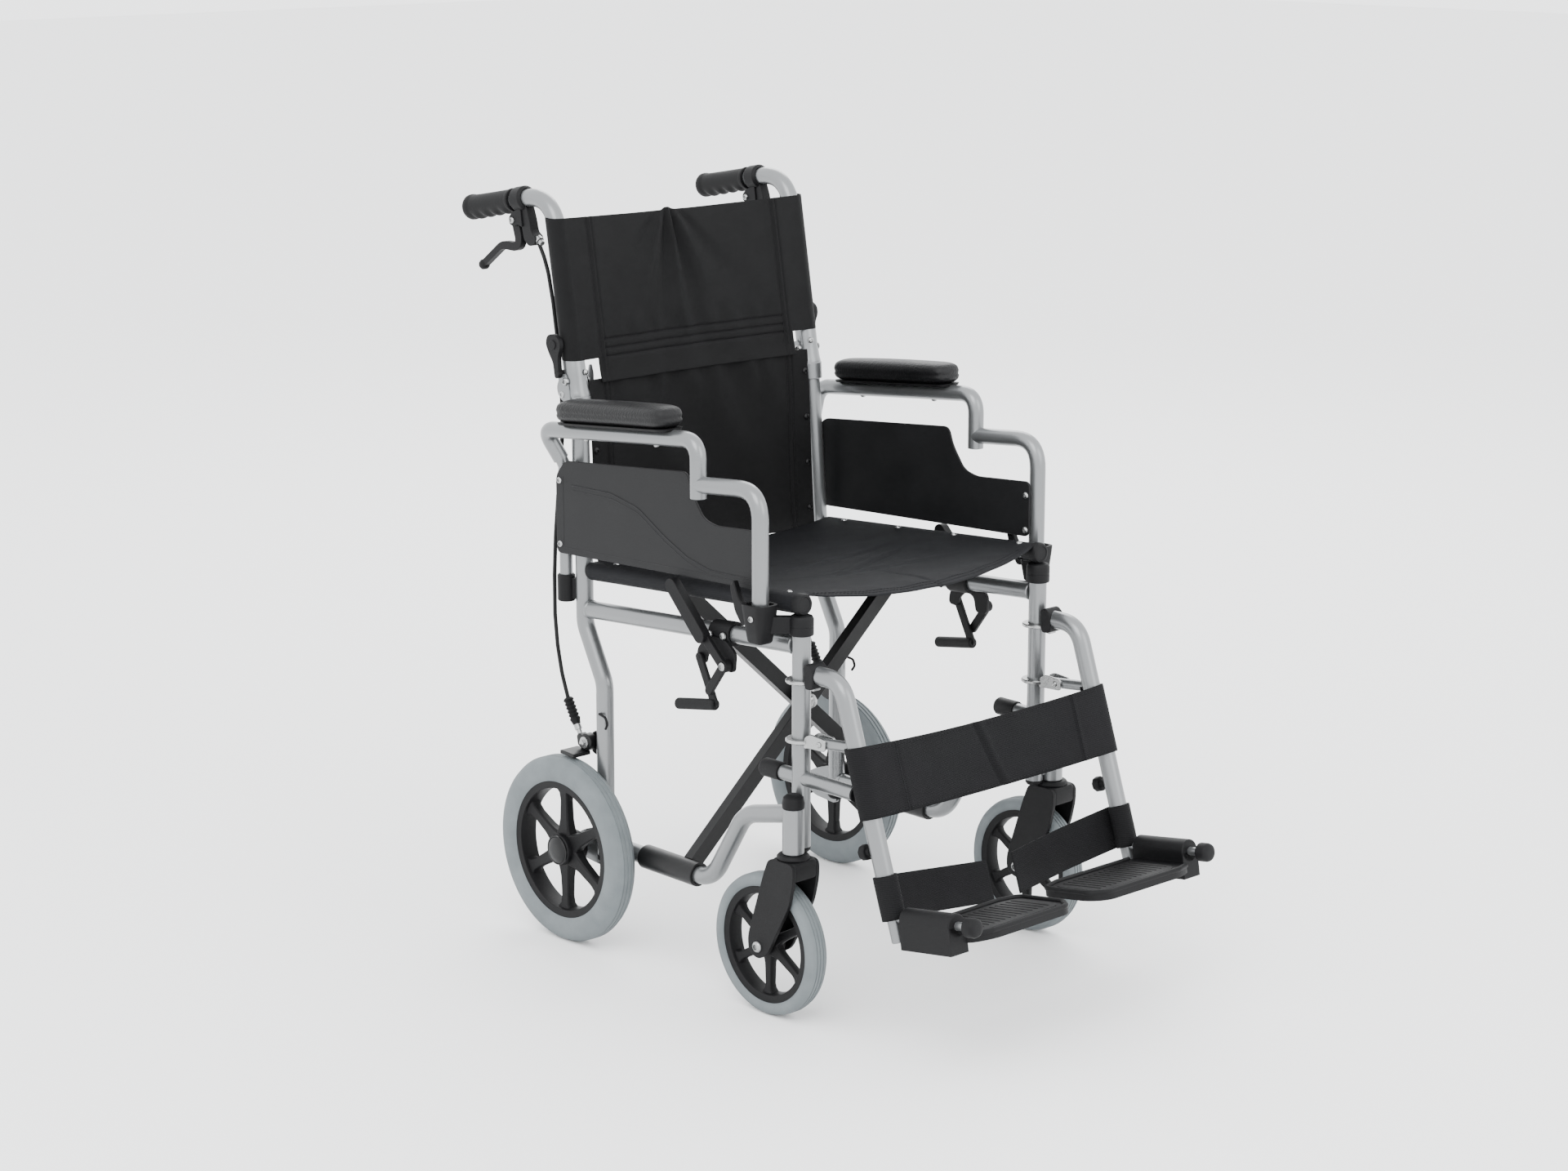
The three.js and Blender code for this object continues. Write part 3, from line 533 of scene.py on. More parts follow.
# ------------------------------------------------------------------ frame
def build_side_frames(settings):
    """The posts and rails of both sides, with their caps, hooks and weld beads."""
    for label, s in SIDES:
        body = f"frame_{label}"
        x = s * HALF
        stem = (s * CASTOR["x"], STEM_Y)
        front = Piece()
        front.rod((x, POST_Y, 207), (x, POST_Y, 472), TUBE_R)
        front.ring((*stem, 206), (*stem, 261), 13, 6.6)
        front.block((15, 10, 44), ((x + stem[0]) / 2, (POST_Y + STEM_Y) / 2, 236),
                    s * math.atan2(STEM_Y - POST_Y, CASTOR["x"] - HALF))
        front.rod((x, -98, 291), (x, -246, 291), 9)
        front.object(f"{label}_front_post", "frame_silver", body, f"front_post_{label}")
        caps = Piece()
        caps.turned((*stem, 261), (0, 0, 1), [(0, 13), (6, 13.4), (13, 12), (16, 8)], 28)
        caps.turned((x, -98, 291), (0, 1, 0), [(-26, 9.2), (-25.4, 11), (4, 11.2), (6, 10), (7, 7)], 32)
        caps.turned((x, -246, 291), (0, -1, 0), [(-1, 9.4), (1.4, 9.4), (2.2, 6)], 28)
        caps.turned((x, POST_Y, 208), (0, 0, -1), [(0, 11), (3, 11.2), (6, 9)], 28)
        caps.object(f"{label}_front_post_caps", "black_plastic", body)

        rear = Piece()
        rear.tube([(x, 203, 112), (x, 202, 335), (x, REAR_POST_Y, 405), (x, REAR_POST_Y, 480),
                   (s * BACK_HALF, 250, 690)], TUBE_R, 40)
        rear.plate_x([(200, 96), (244, 100), (258, 112), (258, 128), (240, 138), (200, 150)],
                     s * 197, s * 203, 8)
        wheel_y, wheel_z = REAR_WHEEL["y"], REAR_WHEEL["r"]
        rear.rod((s * 194, wheel_y, wheel_z), (s * 214.5, wheel_y, wheel_z), 10)
        rear.rod((s * 210, wheel_y, wheel_z), (s * 245, wheel_y, wheel_z), 6)
        rear.object(f"{label}_rear_post", "frame_silver", body, f"rear_post_{label}")
        plate = Piece()
        plate.plate_x([(206, 236), (228, 240), (236, 256), (226, 268), (206, 274)], s * 196, s * 200, 5)
        plate.rod((s * 197, 226, 256), (s * 216, 226, 256), 3)
        plate.rod((s * 192, 213, 262), (s * 196, 213, 262), 4.6)
        plate.object(f"{label}_tyre_brake_plate", "black_enamel", body, edge=0.5)
        ends = Piece()
        ends.ring((s * ARM_LEG[0], ARM_LEG[1], 432), (s * ARM_LEG[0], ARM_LEG[1], 466), 11.2, 8.5, edge=1.4)
        ends.block((8, 10, 26), (s * 205.5, 250.5, 449), s * -0.4)
        ends.turned((x, 203, 112), (0, 0, -1), [(-0.5, 11.6), (5, 11.6), (8, 9)], 28)
        hook = [(212, 199, 298), (213, 186, 296), (213, 182, 288), (212, 187, 281)]
        ends.tube([(s * across, y, z) for across, y, z in hook], 1.6, 5, 12)
        ends.object(f"{label}_rear_post_trim", "black_plastic", body)

        upper = Piece()
        upper.rod((x, REAR_POST_Y - 9, rail_z(REAR_POST_Y - 9)),
                  (x, POST_Y + 9, rail_z(POST_Y + 9)), TUBE_R, 0.1)
        upper.object(f"{label}_upper_side_rail", "frame_silver", body, f"upper_side_rail_{label}")
        lower = Piece()
        lower.tube([(x, 195, LOWER_RAIL_Z), (x, 2, LOWER_RAIL_Z), (x, -58, 225), (x, POST_Y + 9, 245)],
                   TUBE_R, 48, steps=12)
        lower.object(f"{label}_lower_side_rail", "frame_silver", body, f"lower_side_rail_{label}")
        beads = Piece()
        for y, z, r in ((POST_Y + 11, rail_z(POST_Y + 11), 12), (226.5, rail_z(226), 12),
                        (POST_Y + 12.5, 245.5, 12), (190, LOWER_RAIL_Z, 12)):
            beads.turned((x, y - 2, z), (0, 1, 0), [(0, r - 1), (1, r), (3, r), (4, r - 1)], 36)
        beads.object(f"{label}_weld_beads", "frame_silver", body)


def build_cross_braces(settings):
    """Both scissor braces, each with its seat rail, and the centre bolt."""
    for name, low_side, y, pinned in (("front", -1, 50, True), ("rear", 1, 68, False)):
        low = Vector((low_side * HALF, y, LOWER_RAIL_Z))
        high = Vector((-low_side * HALF, y, BRACE_TOP_Z))
        run = high - low
        angle = -math.atan2(run.z, run.x)
        middle = low + run * 0.5 + run.normalized() * 3
        bar = Piece()
        bar.block((run.length - 18, 14, 20), middle, angle, "Y")
        bar.ring((low.x, 26, low.z), (low.x, 126, low.z), 15, TUBE_R + 0.4)
        if pinned:
            bar.rod((0, 38, BRACE_PIN_Z), (0, 79, BRACE_PIN_Z), 5)
        bar.object(f"{name}_brace_bar", "black_enamel", f"brace_{name}", f"cross_brace_{name}", edge=2.2)
        rail = Piece()
        rail.rod((high.x, -150, seat_rail_z(-150)), (high.x, 222, seat_rail_z(222)), 9.5)
        rail.object(f"{name}_brace_seat_rail", "frame_silver", f"brace_{name}")
        cap = Piece()
        cap.turned((high.x, 222, seat_rail_z(222)), (0, 1, -SEAT_SLOPE),
                   [(-12, 10.2), (3, 10.2), (5.5, 8.4), (6, 4)], 28)
        cap.turned((high.x, -150, seat_rail_z(-150)), (0, -1, SEAT_SLOPE),
                   [(-16, 10.4), (0, 10.6), (1, 13.2), (8, 13.2), (10.5, 11.6), (11, 9), (10.2, 8.4)], 36)
        cap.object(f"{name}_brace_rail_caps", "black_plastic", f"brace_{name}")
        if pinned:
            bolt = Piece()
            bolt.turned((0, 42.5, BRACE_PIN_Z), (0, -1, 0),
                        [(0, 9.5), (1.2, 9.5), (1.6, 7), (5.5, 7), (7, 4)], 24)
            bolt.turned((0, 75.4, BRACE_PIN_Z), (0, 1, 0),
                        [(0, 9.5), (1.2, 9.5), (1.4, 7), (5, 7), (6, 5)], 6)
            bolt.object("brace_centre_bolt", "zinc", "brace_front")


# The lower edge of a hinge plate: the outer plate is cut high, so that the armrest lifts past it.
HIGH_FOOT = [(247, 684), (262, 683), (271, 691)]
LOW_FOOT = [(247, 674), (270, 672), (275, 684)]


def build_back_hinges(settings):
    """The hinge brackets with their bolts, release levers and back tube sleeves."""
    for label, s in SIDES:
        body = f"frame_{label}"
        x = s * BACK_HALF
        bracket = Piece()
        bracket.ring((s * 195.4, 249, 668), (x, 250, 689.6), 14.4, TUBE_R + 0.2)
        for face in (-1, 1):
            near = x + face * 14.2
            foot = HIGH_FOOT if face == s else LOW_FOOT
            bracket.plate_x([*foot, (273, 700), (266, 716), (256, 718)], near, near + face * 2.4, 4)
        lug = rounded([(x - s * 12, 259, 676), (x - s * 27, 259, 674), (x - s * 31, 259, 684),
                       (x - s * 31, 259, 714), (x - s * 28, 259, 725), (x - s * 25, 259, 724),
                       (x - s * 22, 259, 708), (x - s * 17, 259, 708), (x - s * 12, 259, 728)], 3, 4)
        bracket.skin([[Vector((p.x, p.y + depth, p.z)) for p in lug] for depth in (0, 2.4)])
        bracket.rod((x - 16, *HINGE), (x + 16, *HINGE), 4)
        bracket.object(f"{label}_hinge_bracket", "frame_silver", body,
                       f"back_hinge_bracket_{label}", edge=0.6)
        bolts = Piece()
        for face in (-1, 1):
            bolts.screw((x + face * 16.4, *HINGE), (face, 0, 0), 5, 3)
            bolts.screw((x + face * 16.4, 263, 691 if face == s else 684), (face, 0, 0), 4.2, 1.8)
        bolts.screw((x - s * 25, 259.2, 695), (0, -1, 0), 4, 3.4)
        bolts.object(f"{label}_hinge_bolts", "zinc", body)
        lever = Piece()
        lever.plate_x([(262, 712), (270, 711), (273, 730), (281, 741), (287, 752), (284, 763), (272, 766),
                       (261, 760), (259, 750), (264, 738)], s * 210.8, s * 217, 5)
        lever.rod((s * 207, 266, 717), (s * 217.6, 266, 717), 4.6)
        lever.rod((s * 216.4, 273, 752), (s * 218.4, 273, 752), 6, 0.8)
        lever.object(f"{label}_hinge_release", "black_plastic", body, edge=1.6)
        sleeve = Piece()
        opening = math.radians(52)
        lean = (HINGE[0] - BACK_TOP[0]) / (BACK_TOP[1] - HINGE[1])
        rings = []
        for height, outer in ((689, 15.4), (691, 15.6), (695, 15), (699, 14.2), (715, 13.8),
                              (734, 13.8), (736, 13.2)):
            centre = HINGE[0] - (height - HINGE[1]) * lean
            turns = [math.pi / 2 + opening + (math.tau - 2 * opening) * k / 36 for k in range(37)]
            rings.append([Vector((x + radius * math.cos(a), centre + radius * math.sin(a), height))
                          for radius, way in ((outer, turns), (11.9, turns[::-1])) for a in way])
        sleeve.skin(rings)
        sleeve.object(f"{label}_back_tube_sleeve", "frame_silver", f"back_{label}")
        rivet = Piece()
        rivet.screw((x - s * 5.5, HINGE[0] - 12.2, 719), (-s * 0.4, -0.9, 0), 3.8, 3)
        rivet.object(f"{label}_sleeve_rivet", "zinc", f"back_{label}")


def build_handles(settings):
    """The back tubes, the waved grips and the brake levers on their mounts."""
    for label, s in SIDES:
        body = f"back_{label}"
        x = s * BACK_HALF
        tube = Piece()
        tube.tube([(x, HINGE[0] - 0.8, HINGE[1] - 5), (x, *BACK_TOP), on_handle(s, 8)], TUBE_R, 52, steps=12)
        tube.object(f"{label}_back_tube", "frame_silver", body, f"back_tube_{label}")
        run = (on_handle(s, 0) - on_handle(s, 10)).normalized()
        start = on_handle(s, 93)
        profile = [(0, 12.6), (0.6, 14.6), (3, 15), (6, 14.3)]
        profile += [(6 + 74 * i / 60, 14.2 + 0.7 * (i / 60) ** 3) for i in range(1, 60)]
        profile += [(81, 15.1), (83.5, 15.9), (86, 16.1), (89, 15.9), (91.5, 14.6), (92.6, 12), (93, 8),
                    (92.4, 4)]
        grip = Piece()
        grip.turned(start, run, profile, 56)
        for vert in grip.mesh.verts:
            away = vert.co / MM - start
            along = away.dot(run)
            below = -(away - run * along).z
            if 5 < along < 80 and below > 3:
                wave = math.cos(math.tau * settings.grip_waves * (along - 5) / 75)
                vert.co.z -= (0.5 * MM - wave * settings.wave_depth) * min((below - 3) / 7, 1)
        grip.object(f"{label}_hand_grip", "grip_rubber", body, f"hand_grip_{label}", angle=60)

        mount = Piece()
        mount.ring(on_handle(s, 97), on_handle(s, 119), 15.5, TUBE_R + 0.2, edge=3)
        mount.plate_x([(358, 918), (341, 916), (335, 900), (331, 884), (322, 878), (325, 868), (337, 866),
                       (346, 874), (349, 888), (356, 902)], x - 6.5, x + 6.5, 4)
        for face in (-1, 1):
            near = x + face * 5.6
            mount.plate_x([(350, 914), (366, 906), (373, 899), (372, 891), (364, 888), (354, 892),
                           (346, 888)], near, near + face * 3, 4)
        mount.object(f"{label}_lever_mount", "black_plastic", body, f"brake_lever_mount_{label}", edge=1.6)
        bright = Piece()
        for face in (-1, 1):
            bright.screw((x + face * 8.5, *LEVER_PIVOT), (face, 0, 0), 4.2, 2.6)
        bright.turned((x, 330, 878), (0, -0.86, -0.5),
                      [(-4, 4.2), (4, 4.2), (4.4, 5.4), (10, 5.4), (10.6, 3.6), (15, 3.4)], 24)
        bright.screw((x, 344, 885), (-0.5, -0.8, 0.3), 3, 2)
        bright.object(f"{label}_lever_mount_screws", "zinc", body)
        lever = Piece()
        spine = bent([(0, 366, 896), (0, 356, 862), (0, 394, 863), (0, 435, 834)], 26, 8)
        upper, under = [], []
        for i, at in enumerate(spine):
            ahead = spine[min(i + 1, len(spine) - 1)] - spine[max(i - 1, 0)]
            off = Vector((-ahead.z, ahead.y)).normalized() * (7 - 2.8 * (i / (len(spine) - 1)) ** 0.7)
            upper.append((at.y + off.x, at.z + off.y))
            under.append((at.y - off.x, at.z - off.y))
        lever.plate_x(upper + under[::-1], x - 4.6, x + 4.6)
        lever.rod((x - 4.6, *LEVER_PIVOT), (x + 4.6, *LEVER_PIVOT), 7)
        lever.turned((x - 6.4, 435, 834), (1, 0, 0),
                     [(0, 2.4), (1, 4.6), (3.4, 6.4), (9.4, 6.4), (11.8, 4.6), (12.8, 2.4)], 28)
        lever.object(f"{label}_brake_lever", "black_plastic", f"hand_lever_{label}",
                     f"brake_lever_{label}", edge=2.4)


CABLE_ROUTE = [
    (195, 324, 870), (195, 315, 856), (194, 308, 836), (192, 302, 800), (190, 298, 760), (188, 296, 720),
    (188, 293, 680), (190, 290, 640), (196, 287, 600), (202, 286, 560), (206, 287, 510), (208, 288, 460),
    (209, 287, 410), (209, 283, 370), (209, 275, 335), (209, 263, 303),
]


def build_brake_cables(settings):
    """The cables with their boots, and the tyre brakes that they pull."""
    for label, s in SIDES:
        body = f"frame_{label}"
        cable = Piece()
        radius = settings.cable_thickness / MM / 2
        cable.tube([(s * x, y, z) for x, y, z in CABLE_ROUTE], radius, 60, 16, 5)
        jacket = cable.object(f"{label}_brake_cable", "cable_jacket", None, f"brake_cable_{label}")
        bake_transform(jacket)
        boot = Piece()
        run = Vector((0, 247 - 264.5, 275 - 306)).normalized()
        profile = [(0, 3)]
        for fold in range(6):
            profile += [(1 + fold * 5, 5.2), (3.4 + fold * 5, 6.9)]
        profile += [(33, 5.4), (35.6, 5), (36, 4.2), (42, 4.2)]
        boot.turned((s * 209, 264.5, 306), run, profile, 24)
        boot.object(f"{label}_cable_boot", "grip_rubber", body)
        barrel = Piece()
        barrel.turned(Vector((s * 209, 264.5, 306)) + run * 36, run,
                      [(0, 4.6), (7, 4.6), (7.4, 3.2), (12, 3.2)], 20)
        barrel.object(f"{label}_brake_barrel", "zinc", body)
        arm = Piece()
        arm.rod((s * 201, 226, 256), (s * 214, 226, 256), 11, 1.5)
        arm.plate_x([(226, 262), (238, 266), (242, 262), (240, 250), (228, 246)], s * 203, s * 214, 3)
        curve = []
        for reach in (127.4, 122.6):
            arc = [(248 - 26 * k / 10, reach) for k in range(11)]
            curve += [(y, REAR_WHEEL["r"] + math.sqrt(r ** 2 - (y - REAR_WHEEL["y"]) ** 2))
                      for y, r in (arc if reach < 125 else arc[::-1])]
        arm.plate_x(curve, s * 208, s * 236)
        arm.link((226, 256), (232, 249), 12, s * 206, s * 211)
        arm.object(f"{label}_tyre_brake_arm", "black_enamel", f"tyre_brake_{label}",
                   f"tyre_brake_arm_{label}", edge=0.8)
        cam = Piece()
        cam.turned((s * 214, 226, 256), (s, 0, 0), [(-0.5, 7.5), (1.8, 7.5), (2.2, 5)], 28)
        cam.turned((s * 214, 226, 256), (s, 0, 0), [(0, 4.2), (5.5, 4.2), (6, 3.4)], 6)
        cam.object(f"{label}_tyre_brake_cam", "zinc", f"tyre_brake_{label}")


# ------------------------------------------------------------------ cloth
def seat_path(t, y):
    """Across the seat at a given y: round the right rail, over the sagging middle, round the left."""
    wrap, middle = 0.1, HALF - 4
    side = -1 if t < 0.5 else 1
    u = min(t, 1 - t)
    rail = seat_rail_z(y)
    if u < wrap:
        a = math.radians(-120 + (210 * u / wrap))
        return side * (HALF + 10.6 * math.cos(a)), rail + 10.6 * math.sin(a)
    x = side * (middle - middle * (u - wrap) / (0.5 - wrap))
    sag = 11 * (1 - (x / middle) ** 2) ** 0.8 if abs(x) < middle else 0
    return x, rail + 10.6 - sag


def seat_front(x):
    """The seat's bowed front edge."""
    return -150 - 34 * max(0, 1 - (x / 205) ** 2)


def seat_relief(x, y, wrinkle):
    """Folds, the front hem's roll and the middle crease of the seat, in millimetres upwards."""
    folds = 1.6 * noise.noise(Vector((x * 0.012, y * 0.02, 3)))
    for lean, offset, depth in ((0.34, -40, 2.0), (-0.22, -62, 1.6), (0.12, 18, 1.3)):
        line = y - offset - lean * x
        folds += depth * (bump_at(line, 5, 6) - bump_at(line, -4, 5)) * bump_at(x, 20, 90)
    crease = -2.2 * bump_at(x, 0, 2.4) * bump_at(y, -150, 70)
    folds += 0.8 * math.sin(x * 0.11 + 0.05 * y) * bump_at(y, seat_front(x) + 18, 16)
    return wrinkle * (folds + crease) - 3.5 * bump_at(y, seat_front(x), 9)


def build_seat(settings):
    """The seat cloth with its screws and hems."""
    across, along = 120, 90
    rows = []
    for j in range(along + 1):
        row = []
        for i in range(across + 1):
            x = seat_path(i / across, 0)[0]
            front = seat_front(x)
            y = front + (221 - front) * j / along
            x, z = seat_path(i / across, max(y, -150))
            inside = max(0, 1 - (x / 186) ** 2)
            z += inside * seat_relief(x, y, settings.wrinkle)
            row.append((x, y, z))
        rows.append(row)
    seat = cloth_grid("seat_cloth", "seat_nylon", rows, settings.seat_thickness, "seat_sling")
    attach(seat, "seat")
    width = length_of([(*seat_path(i / across, 0), 0) for i in range(across + 1)]) * MM
    trim = Piece()
    for s in (-1, 1):
        for y in (-128, -16, 84, 184):
            trim.screw((s * (HALF - 6), y, seat_rail_z(y) + 10.4), (0, -0.06, 1), 3.8, 2.4)
    screws = trim.object("seat_screws", "zinc", "seat")
    hem = Piece()
    edges = []
    for inset in (7, 12, 372):
        edges.append([(x, seat_front(x) + inset if inset < 300 else 214) for x in range(-180, 181, 5)])
    stitch_rows(hem, [[(x, y, surface_z(x, y, settings) + 1.1) for x, y in edge] for edge in edges], settings)
    hemline = hem.object("seat_stitching", "thread", "seat")
    for piece in (seat, screws, hemline):
        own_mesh(piece)


def surface_z(x, y, settings):
    """The height of the seat cloth at a point clear of the rails."""
    middle = HALF - 4
    inside = max(0, 1 - (x / 186) ** 2)
    z = seat_rail_z(max(y, -150)) + 10.6 - 11 * (1 - (x / middle) ** 2) ** 0.8
    return z + inside * seat_relief(x, y, settings.wrinkle)


def stitch_rows(piece, rows, settings):
    """Short runs of sewing thread lying along rows of points."""
    long = settings.stitch_length / MM
    for row in rows:
        for a, b in zip(row, row[1:]):
            start, end = Vector(a), Vector(b)
            run = end - start
            piece.tube([start, start + run * (long / max(run.length, long))], 0.45, 0, 5)


SLEEVE_R = 13.3
SLEEVE_WRAP = 0.12
SLEEVE_EDGE = BACK_HALF + SLEEVE_R * math.cos(math.radians(105))


def back_panel_y(x, z):
    """The flat run of the upper back between its two sleeves."""
    slack = max(0, 1 - (x / SLEEVE_EDGE) ** 2)
    return back_y(z) - SLEEVE_R * math.sin(math.radians(105)) * (1 - slack) - slack * 3.0


def back_section(t, z):
    """Across the upper back at a height: round the right tube, across the front, round the left."""
    side = -1 if t < 0.5 else 1
    u = min(t, 1 - t)
    if u < SLEEVE_WRAP:
        a = math.radians(-130 + 235 * u / SLEEVE_WRAP)
        return side * (BACK_HALF + SLEEVE_R * math.cos(a)), back_y(z) - SLEEVE_R * math.sin(a)
    x = side * SLEEVE_EDGE * (1 - (u - SLEEVE_WRAP) / (0.5 - SLEEVE_WRAP))
    return x, back_panel_y(x, z)


def sewn_relief(x):
    """How far the back's cloth is pulled in by its seams: a double line beside each sleeve."""
    return 1.5 * sum(bump_at(abs(x), line, 1.5) for line in SEAM) - 0.9 * bump_at(abs(x), sum(SEAM) / 2, 2.2)


def upper_back_relief(x, z, wrinkle):
    """Folds, quilting and seams of the upper back, in millimetres towards the back."""
    middle = max(0, 1 - (x / SEAM[0]) ** 2) ** 0.5
    down = max(902 - z, 0)
    angle = math.degrees(math.atan2(x + 20, down + 26))
    fan = sum(depth * bump_at(angle, lean, wide) for lean, depth, wide in (
        (-40, 1.4, 6), (-22, -2.4, 6), (-8, 3.0, 4), (3, -2.6, 3.4), (12, 3.0, 4), (24, -2.0, 6),
        (38, 1.8, 6)))
    folds = fan * (0.35 + 0.65 * bump_at(down, 30, 70)) * min(1, down / 18 + 0.3)
    folds += 1.1 * noise.noise(Vector((x * 0.02, z * 0.012, 5)))
    pulls = 0.9 * math.sin(x * 0.16 + 2 * noise.noise(Vector((x * 0.03, 2, 1)))) * bump_at(z, 764, 14)
    quilted = sum(2.0 * bump_at(z, line, 1.7) for line in QUILTING) if abs(x) < SEAM[0] + 1 else 0
    return middle * wrinkle * 1.5 * (folds + pulls) + quilted + sewn_relief(x)


def lower_back_relief(x, z, wrinkle):
    """Folds and seams of the lower back, in millimetres towards the back."""
    middle = max(0, 1 - (x / SEAM[0]) ** 2) ** 0.5
    hang = (HINGE[1] - z) / (HINGE[1] - LOW_HEM)
    near_seam = bump_at(hang, 0, 0.3)
    folds = 1.3 * math.sin(x * 0.13 + 3 * noise.noise(Vector((x * 0.02, z * 0.01, 9)))) * near_seam
    folds += 2.4 * math.sin((x + 0.55 * (z - 600)) * 0.052 + 1.1) * min(1, hang * 3)
    folds += 2.0 * noise.noise(Vector((x * 0.016, z * 0.013, 7)))
    return middle * wrinkle * 1.5 * folds + sewn_relief(x)


def lower_panel_y(x, z):
    """The lower back hangs from the upper one's hem and lies against the rear posts lower down."""
    share = (z - LOW_HEM) / (HINGE[1] - LOW_HEM)
    slack = max(0, 1 - (x / 184) ** 2)
    low = lower_back_y(z) - 7 + 9 * slack
    return low * (1 - share ** 3) + (back_panel_y(x, z) + 1.6) * share ** 3


def build_back_slings(settings):
    """The upper cloth sleeved on the back tubes, its skirt, and the lower cloth."""
    across, along = 240, 130
    top, seam = 905, HINGE[1] - 5
    rows = []
    for j in range(along + 1):
        z = SLEEVE_LOW + (top - SLEEVE_LOW) * j / along
        row = []
        for i in range(across + 1):
            x, y = back_section(i / across, z)
            dip = 0
            if SLEEVE_WRAP < i / across < 1 - SLEEVE_WRAP:
                y += upper_back_relief(x, z, settings.wrinkle)
                dip = (j / along) ** 8 * (3.2 * max(0, 1 - (x / 190) ** 2) - 3.5 * bump_at(x, -20, 7))
            row.append((x, y, z - dip))
        rows.append(row)
    upper = cloth_grid("upper_back_cloth", "nylon", rows, settings.back_thickness, "back_sling_upper")
    skirt = []
    for j in range(25):
        z = seam + (SLEEVE_LOW + 1 - seam) * j / 24
        row = []
        for x in (-163 + 326 * i / 140 for i in range(141)):
            relief = upper_back_relief(x, z, settings.wrinkle) * min(1, (z - 690) / 40)
            row.append((x, back_panel_y(x, z) + relief - 1.4 * bump_at(z, seam, 9), z))
        skirt.append(row)
    hem = cloth_grid("upper_back_skirt", "nylon", skirt, settings.back_thickness)
    thread = Piece()
    lines = [[(x, back_panel_y(x, z) + upper_back_relief(x, z, settings.wrinkle) - 1.0, z)
              for x in range(-148, 149, 5)] for z in QUILTING]
    for side in (-1, 1):
        for line in SEAM:
            lines.append([(side * line, back_panel_y(line, z) + sewn_relief(line) - 1.0, z)
                          for z in range(712, 898, 5)])
    stitch_rows(thread, lines, settings)
    stitching = thread.object("upper_back_stitching", "thread")
    for piece in (upper, hem, stitching):
        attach(piece, "back_right")
        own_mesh(piece)

    half = 184
    rows = []
    for j in range(along + 1):
        z = LOW_HEM + (HINGE[1] - 0.3 - LOW_HEM) * j / along
        row = []
        for i in range(across + 1):
            x = -half + 2 * half * i / across
            row.append((x, lower_panel_y(x, z) + lower_back_relief(x, z, settings.wrinkle), z))
        rows.append(row)
    lower = cloth_grid("lower_back_cloth", "nylon", rows, settings.back_thickness, "back_sling_lower")
    thread = Piece()
    lines = [[(side * line, lower_panel_y(line, z) + sewn_relief(line) - 1.0, z)
              for z in range(LOW_HEM + 5, 700, 5)] for side in (-1, 1) for line in SEAM]
    stitch_rows(thread, lines, settings)
    seams = thread.object("lower_back_stitching", "thread")
    screws = Piece()
    for side in (-1, 1):
        for z in (500, 560, 620, 680):
            screws.screw((side * 178, lower_panel_y(178, z) - 0.6, z), (0, -1, 0), 4.2, 2.2)
    heads = screws.object("lower_back_screws", "black_enamel")
    for piece in (lower, seams, heads):
        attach(piece, "frame_right")
        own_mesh(piece)


STRAP_R = 13.4
STRAP_WRAP = 0.09


def strap_frame():
    """The lower end of a hanger, the way up it and the way forwards from it."""
    foot = Vector((0, *HANGER_END))
    up = (Vector((0, *HANGER_BEND)) - foot).normalized()
    return foot, up, Vector((1, 0, 0)).cross(up)


def strap_rows(section, bottom, top, across, along):
    """Rows of a strap square to the hangers: section gives (x, height forwards) at a share of its length."""
    foot, up, forward = strap_frame()
    rows = []
    for j in range(along + 1):
        row = []
        for i in range(across + 1):
            t = i / across
            x, stand = section(t, j / along)
            height = bottom(t) + (top(t) - bottom(t)) * j / along
            row.append(tuple(foot + up * height + forward * stand + Vector((x, 0, 0))))
        rows.append(row)
    return rows


def calf_section(wrinkle):
    def section(t, up_share):
        side, u = (-1, t) if t < 0.5 else (1, 1 - t)
        if u < STRAP_WRAP:
            a = math.radians(-130 + 225 * u / STRAP_WRAP)
            return side * (HALF + STRAP_R * math.cos(a)), STRAP_R * math.sin(a)
        share = (u - STRAP_WRAP) / (0.5 - STRAP_WRAP)
        x = side * (HALF - 1.2) * (1 - share)
        stand = STRAP_R - 12 * math.sin(math.pi * share / 2) ** 1.4
        crease = 2.6 * bump_at(x, 14 - 26 * up_share, 3.4) - 1.6 * bump_at(x, 22 - 26 * up_share, 5)
        seams = 0.9 * (bump_at(abs(x), 148, 1.6) - bump_at(abs(x), 152, 2.4))
        waves = 1.2 * noise.noise(Vector((x * 0.02, up_share * 1.4, 4)))
        return x, stand - wrinkle * (crease + waves * min(1, share * 3)) - seams
    return section


def heel_section(s, wrinkle):
    def section(t, up_share):
        wrap = 0.26
        if t < wrap:
            a = math.radians(200 - 305 * t / wrap)
            return s * (HALF + STRAP_R * math.cos(a)), STRAP_R * math.sin(a)
        share = (t - wrap) / (1 - wrap)
        x = s * (HALF - 3.4 - (HALF - 3.4 - 22) * share)
        stand = -STRAP_R * math.sin(math.radians(75)) - 7 * math.sin(math.pi * share) - 5 * share
        waves = 1.3 * math.sin(math.pi * share) * noise.noise(Vector((x * 0.03, up_share, 6)))
        return x, stand + wrinkle * waves
    return section


